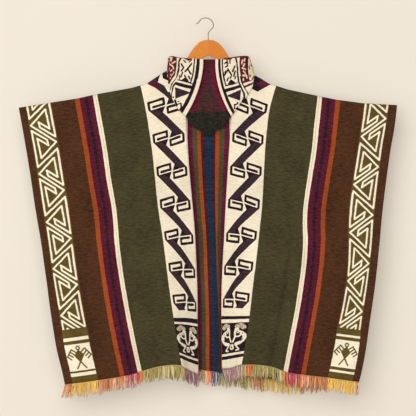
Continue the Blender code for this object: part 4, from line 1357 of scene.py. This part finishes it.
# From each place along the hem, in millimetres from the hook's line
FRONT_YARNS = ((-460, RUST), (-418, GOLD), (-336, RUST), (-267, SALMON), (-248, CRIMSON),
               (-211, SALMON), (-198, KHAKI), (-69, MAUVE), (-26, CRIMSON), (-13, KHAKI),
               (0, SALMON), (15, CRIMSON), (27, TEAL), (48, MAUVE), (112, KHAKI), (134, SALMON),
               (143, KHAKI), (244, SALMON), (256, CRIMSON), (292, SALMON), (310, RUST),
               (382, GOLD), (470, RUST))
# The back's hem has the same yarns up to the slit's right side
BACK_YARNS = FRONT_YARNS[:13] + ((48, KHAKI), (150, RUST), (182, GOLD_PAINTED_LIGHTER), (300, RUST),
                                 (382, GOLD), (470, RUST))
YARN_ORIGIN = -700.0
YARN_REACH = 1400.0
PALE_FROM, PALE_SHARE = 0.72, 0.55      # the toss that makes a yarn paler, and by how much
PLY_TURNS = 90.0


def spin_yarn(name, yarns):
    dye = Dye(name, 0.8)
    along, down = dye.split(dye.node("UVMap", uv_map="cloth").outputs[0])
    where = dye.scaled(along, 1000, -YARN_ORIGIN)
    stops = tuple((start - YARN_ORIGIN, colour) for start, colour in yarns)
    colour = dye.stripes(where, YARN_REACH, ((0, RUST),) + stops)
    tosses = []
    for speed in (7.31, 3.17):
        toss = dye.node("TexWhiteNoise", noise_dimensions="1D")
        dye.feed(toss.inputs["W"], dye.times(where, speed))
        tosses.append(toss.outputs["Value"])
    loose = dye.more(down, 0.02)
    pale = dye.times(loose, dye.more(tosses[1], PALE_FROM))
    colour = dye.mix(dye.times(pale, PALE_SHARE), colour, PALE)
    light = dye.times(dye.scaled(tosses[0], 0.76, 0.72), dye.scaled(loose, 0.3, 0.7))
    dye.feed(dye.shader.inputs["Base Color"], dye.worn_and_lit(colour, light))
    dye.raised(dye.math("SINE", dye.times(down, PLY_TURNS)), 0.0005)
    dye.shader.inputs["Sheen Weight"].default_value = 0.3
    return dye.material


front_yarn = spin_yarn("front_fringe_yarn", FRONT_YARNS)
for fringe in (fringe_left, fringe_right):
    fringe.data.materials.append(front_yarn)
fringe_back.data.materials.append(spin_yarn("back_fringe_yarn", BACK_YARNS))

# %% [markdown]
# ## The hanger
# The wood keeps its own solid, and gets the honey colour, the grain and the dull varnish of a
# flat wooden hanger. The hook is bent steel wire. Its solid has few sides, so it is made again
# with a rounder section, from the same places along the wire.

# %% Wood
ARM_RUN, ARM_DROP = 0.79, 0.61      # which way an arm slopes
WOOD_HONEY = srgb(214, 130, 49)
WOOD_RING = srgb(172, 88, 28)
WOOD_FIBRE = srgb(226, 152, 72)
WOOD_RIGHT = srgb(188, 92, 30)      # the right arm is a little redder
WOOD_JOINT = srgb(120, 60, 26)      # the line where the arms meet


def varnish_wood():
    """Honey brown, with the grain along each arm, so that it meets in a chevron in the middle."""
    dye = Dye("varnished_wood", 0.5)
    place = dye.vector("MULTIPLY", dye.node("TexCoord").outputs["Object"], (1000, 1000, 1000))
    x, y, z = dye.node("SeparateXYZ", place).outputs
    aside = dye.minus(x, MID_LINE)
    out = dye.math("ABSOLUTE", aside)
    along = dye.math("ADD", dye.times(out, ARM_RUN), dye.times(z, -ARM_DROP))
    over = dye.math("ADD", dye.times(out, ARM_DROP), dye.times(z, ARM_RUN))
    grain = dye.node("CombineXYZ", dye.times(along, 0.02), dye.times(y, 0.3),
                     dye.times(over, 0.28)).outputs[0]
    fibres = dye.noise(grain, 2.2, 5.0, 0.65)
    rings = dye.noise(dye.vector("MULTIPLY", grain, (1, 0.4, 0.5)), 1.0, 1.0)
    bands = dye.math("SINE", dye.times(rings, 60))
    colour = dye.mix(dye.scaled(bands, 0.16, 0.2), WOOD_HONEY, WOOD_RING)
    colour = dye.mix(dye.scaled(fibres, 2.4, -0.95, clamp=True), colour, WOOD_FIBRE)
    colour = dye.mix(dye.times(dye.more(aside, 0.0), 0.2), colour, WOOD_RIGHT)
    colour = dye.mix(dye.times(dye.less(out, 0.5), 0.16), colour, WOOD_JOINT)
    dye.feed(dye.shader.inputs["Base Color"], colour)
    dye.raised(fibres, 0.0002)
    dye.shader.inputs["Specular IOR Level"].default_value = 0.1
    return dye.material


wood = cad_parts["hanger_wood"]
wood.data.materials.clear()
wood.data.materials.append(varnish_wood())

# %% Hook
WIRE_RADIUS = 1.9
HOOK_RADIUS = 26.0
HOOK_ANGLES = (118, 14)
WIRE_STEPS = 12
HOOK_TIP = ((-29.5, 16.2), (-23.8, 14.8), (-19.4, 10.4), (-16.0, 5.2))
SHAFT = ((15.8, 22.0), (14.0, 27.2), (9.8, 32.6), (4.6, 38.0), (0.8, 43.2), (-0.6, 49.0),
         (-0.6, 67.0))


def bend_hook():
    points = [(side, -drop) for side, drop in HOOK_TIP]
    for i in range(WIRE_STEPS + 1):
        turn = math.radians(HOOK_ANGLES[0] + (HOOK_ANGLES[1] - HOOK_ANGLES[0]) * i / WIRE_STEPS)
        points.append((HOOK_RADIUS * math.cos(turn),
                       HOOK_RADIUS * math.sin(turn) - HOOK_RADIUS + WIRE_RADIUS))
    points += [(MID_LINE + side, -drop) for side, drop in SHAFT]
    wire = bpy.data.curves.new("steel_hook", "CURVE")
    wire.dimensions = "3D"
    wire.bevel_depth = WIRE_RADIUS * MM
    wire.bevel_resolution = 4
    wire.use_fill_caps = True
    wire.resolution_u = 4
    line = wire.splines.new("BEZIER")
    line.bezier_points.add(len(points) - 1)
    for target, (x, z) in zip(line.bezier_points, points):
        target.co = (x * MM, 0, z * MM)
        target.handle_left_type = target.handle_right_type = "AUTO"
    hook = bpy.data.objects.new("steel_hook", wire)
    bpy.context.scene.collection.objects.link(hook)
    bpy.ops.object.select_all(action="DESELECT")
    hook.select_set(True)
    bpy.context.view_layer.objects.active = hook
    bpy.ops.object.convert(target="MESH")
    bpy.ops.object.shade_smooth_by_angle(angle=math.radians(50))
    return bpy.context.object


def polish_steel():
    dye = Dye("polished_steel", 0.22)
    chart = dye.node("TexCoord").outputs["Object"]
    wear = dye.noise(chart, 900.0, 3.0)
    steel = dye.mix(wear, srgb(128, 120, 118), srgb(176, 168, 164))
    dye.feed(dye.shader.inputs["Base Color"], steel)
    dye.feed(dye.shader.inputs["Roughness"], dye.scaled(wear, 0.2, 0.14))
    dye.shader.inputs["Metallic"].default_value = 1.0
    return dye.material


hook = bend_hook()
hook.data.materials.append(polish_steel())
print("hook:", len(hook.data.polygons), "faces")

# %% [markdown]
# ## Hand the pieces over
# Each piece rides on the one body and stands for its solid, which is hidden. The table also
# lists each sheet's finish and how large its cloth was cut, flat, before it was sewn and hung,
# but nothing here reads them.

# %% What each piece stands for
SHEETS = (
    (front_left, "front_left", "cloth_green", (0.496, 0.930), 0.43, fringe_left),
    (front_right, "front_right", "cloth_green", (0.496, 0.930), 0.43, fringe_right),
    (back, "back", "cloth_green", (1.121, 0.940), None, fringe_back),
    (hood_left, "hood_left", "hood_maroon", (0.185, 0.200), 0.026, None),
    (hood_right, "hood_right", "hood_maroon", (0.190, 0.200), 0.026, None),
    (hood_back, "hood_back", "hood_maroon", (0.254, 0.520), 0.098, None),
)
for piece, node, finish, size, area, fringe in SHEETS:
    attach(piece, "root")
    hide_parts(node)
for fringe, node in ((fringe_left, "fringe_front_left"), (fringe_right, "fringe_front_right"),
                     (fringe_back, "fringe_back")):
    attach(fringe, "root")
    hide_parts(node)
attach(hook, "root")
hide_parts("hanger_hook")
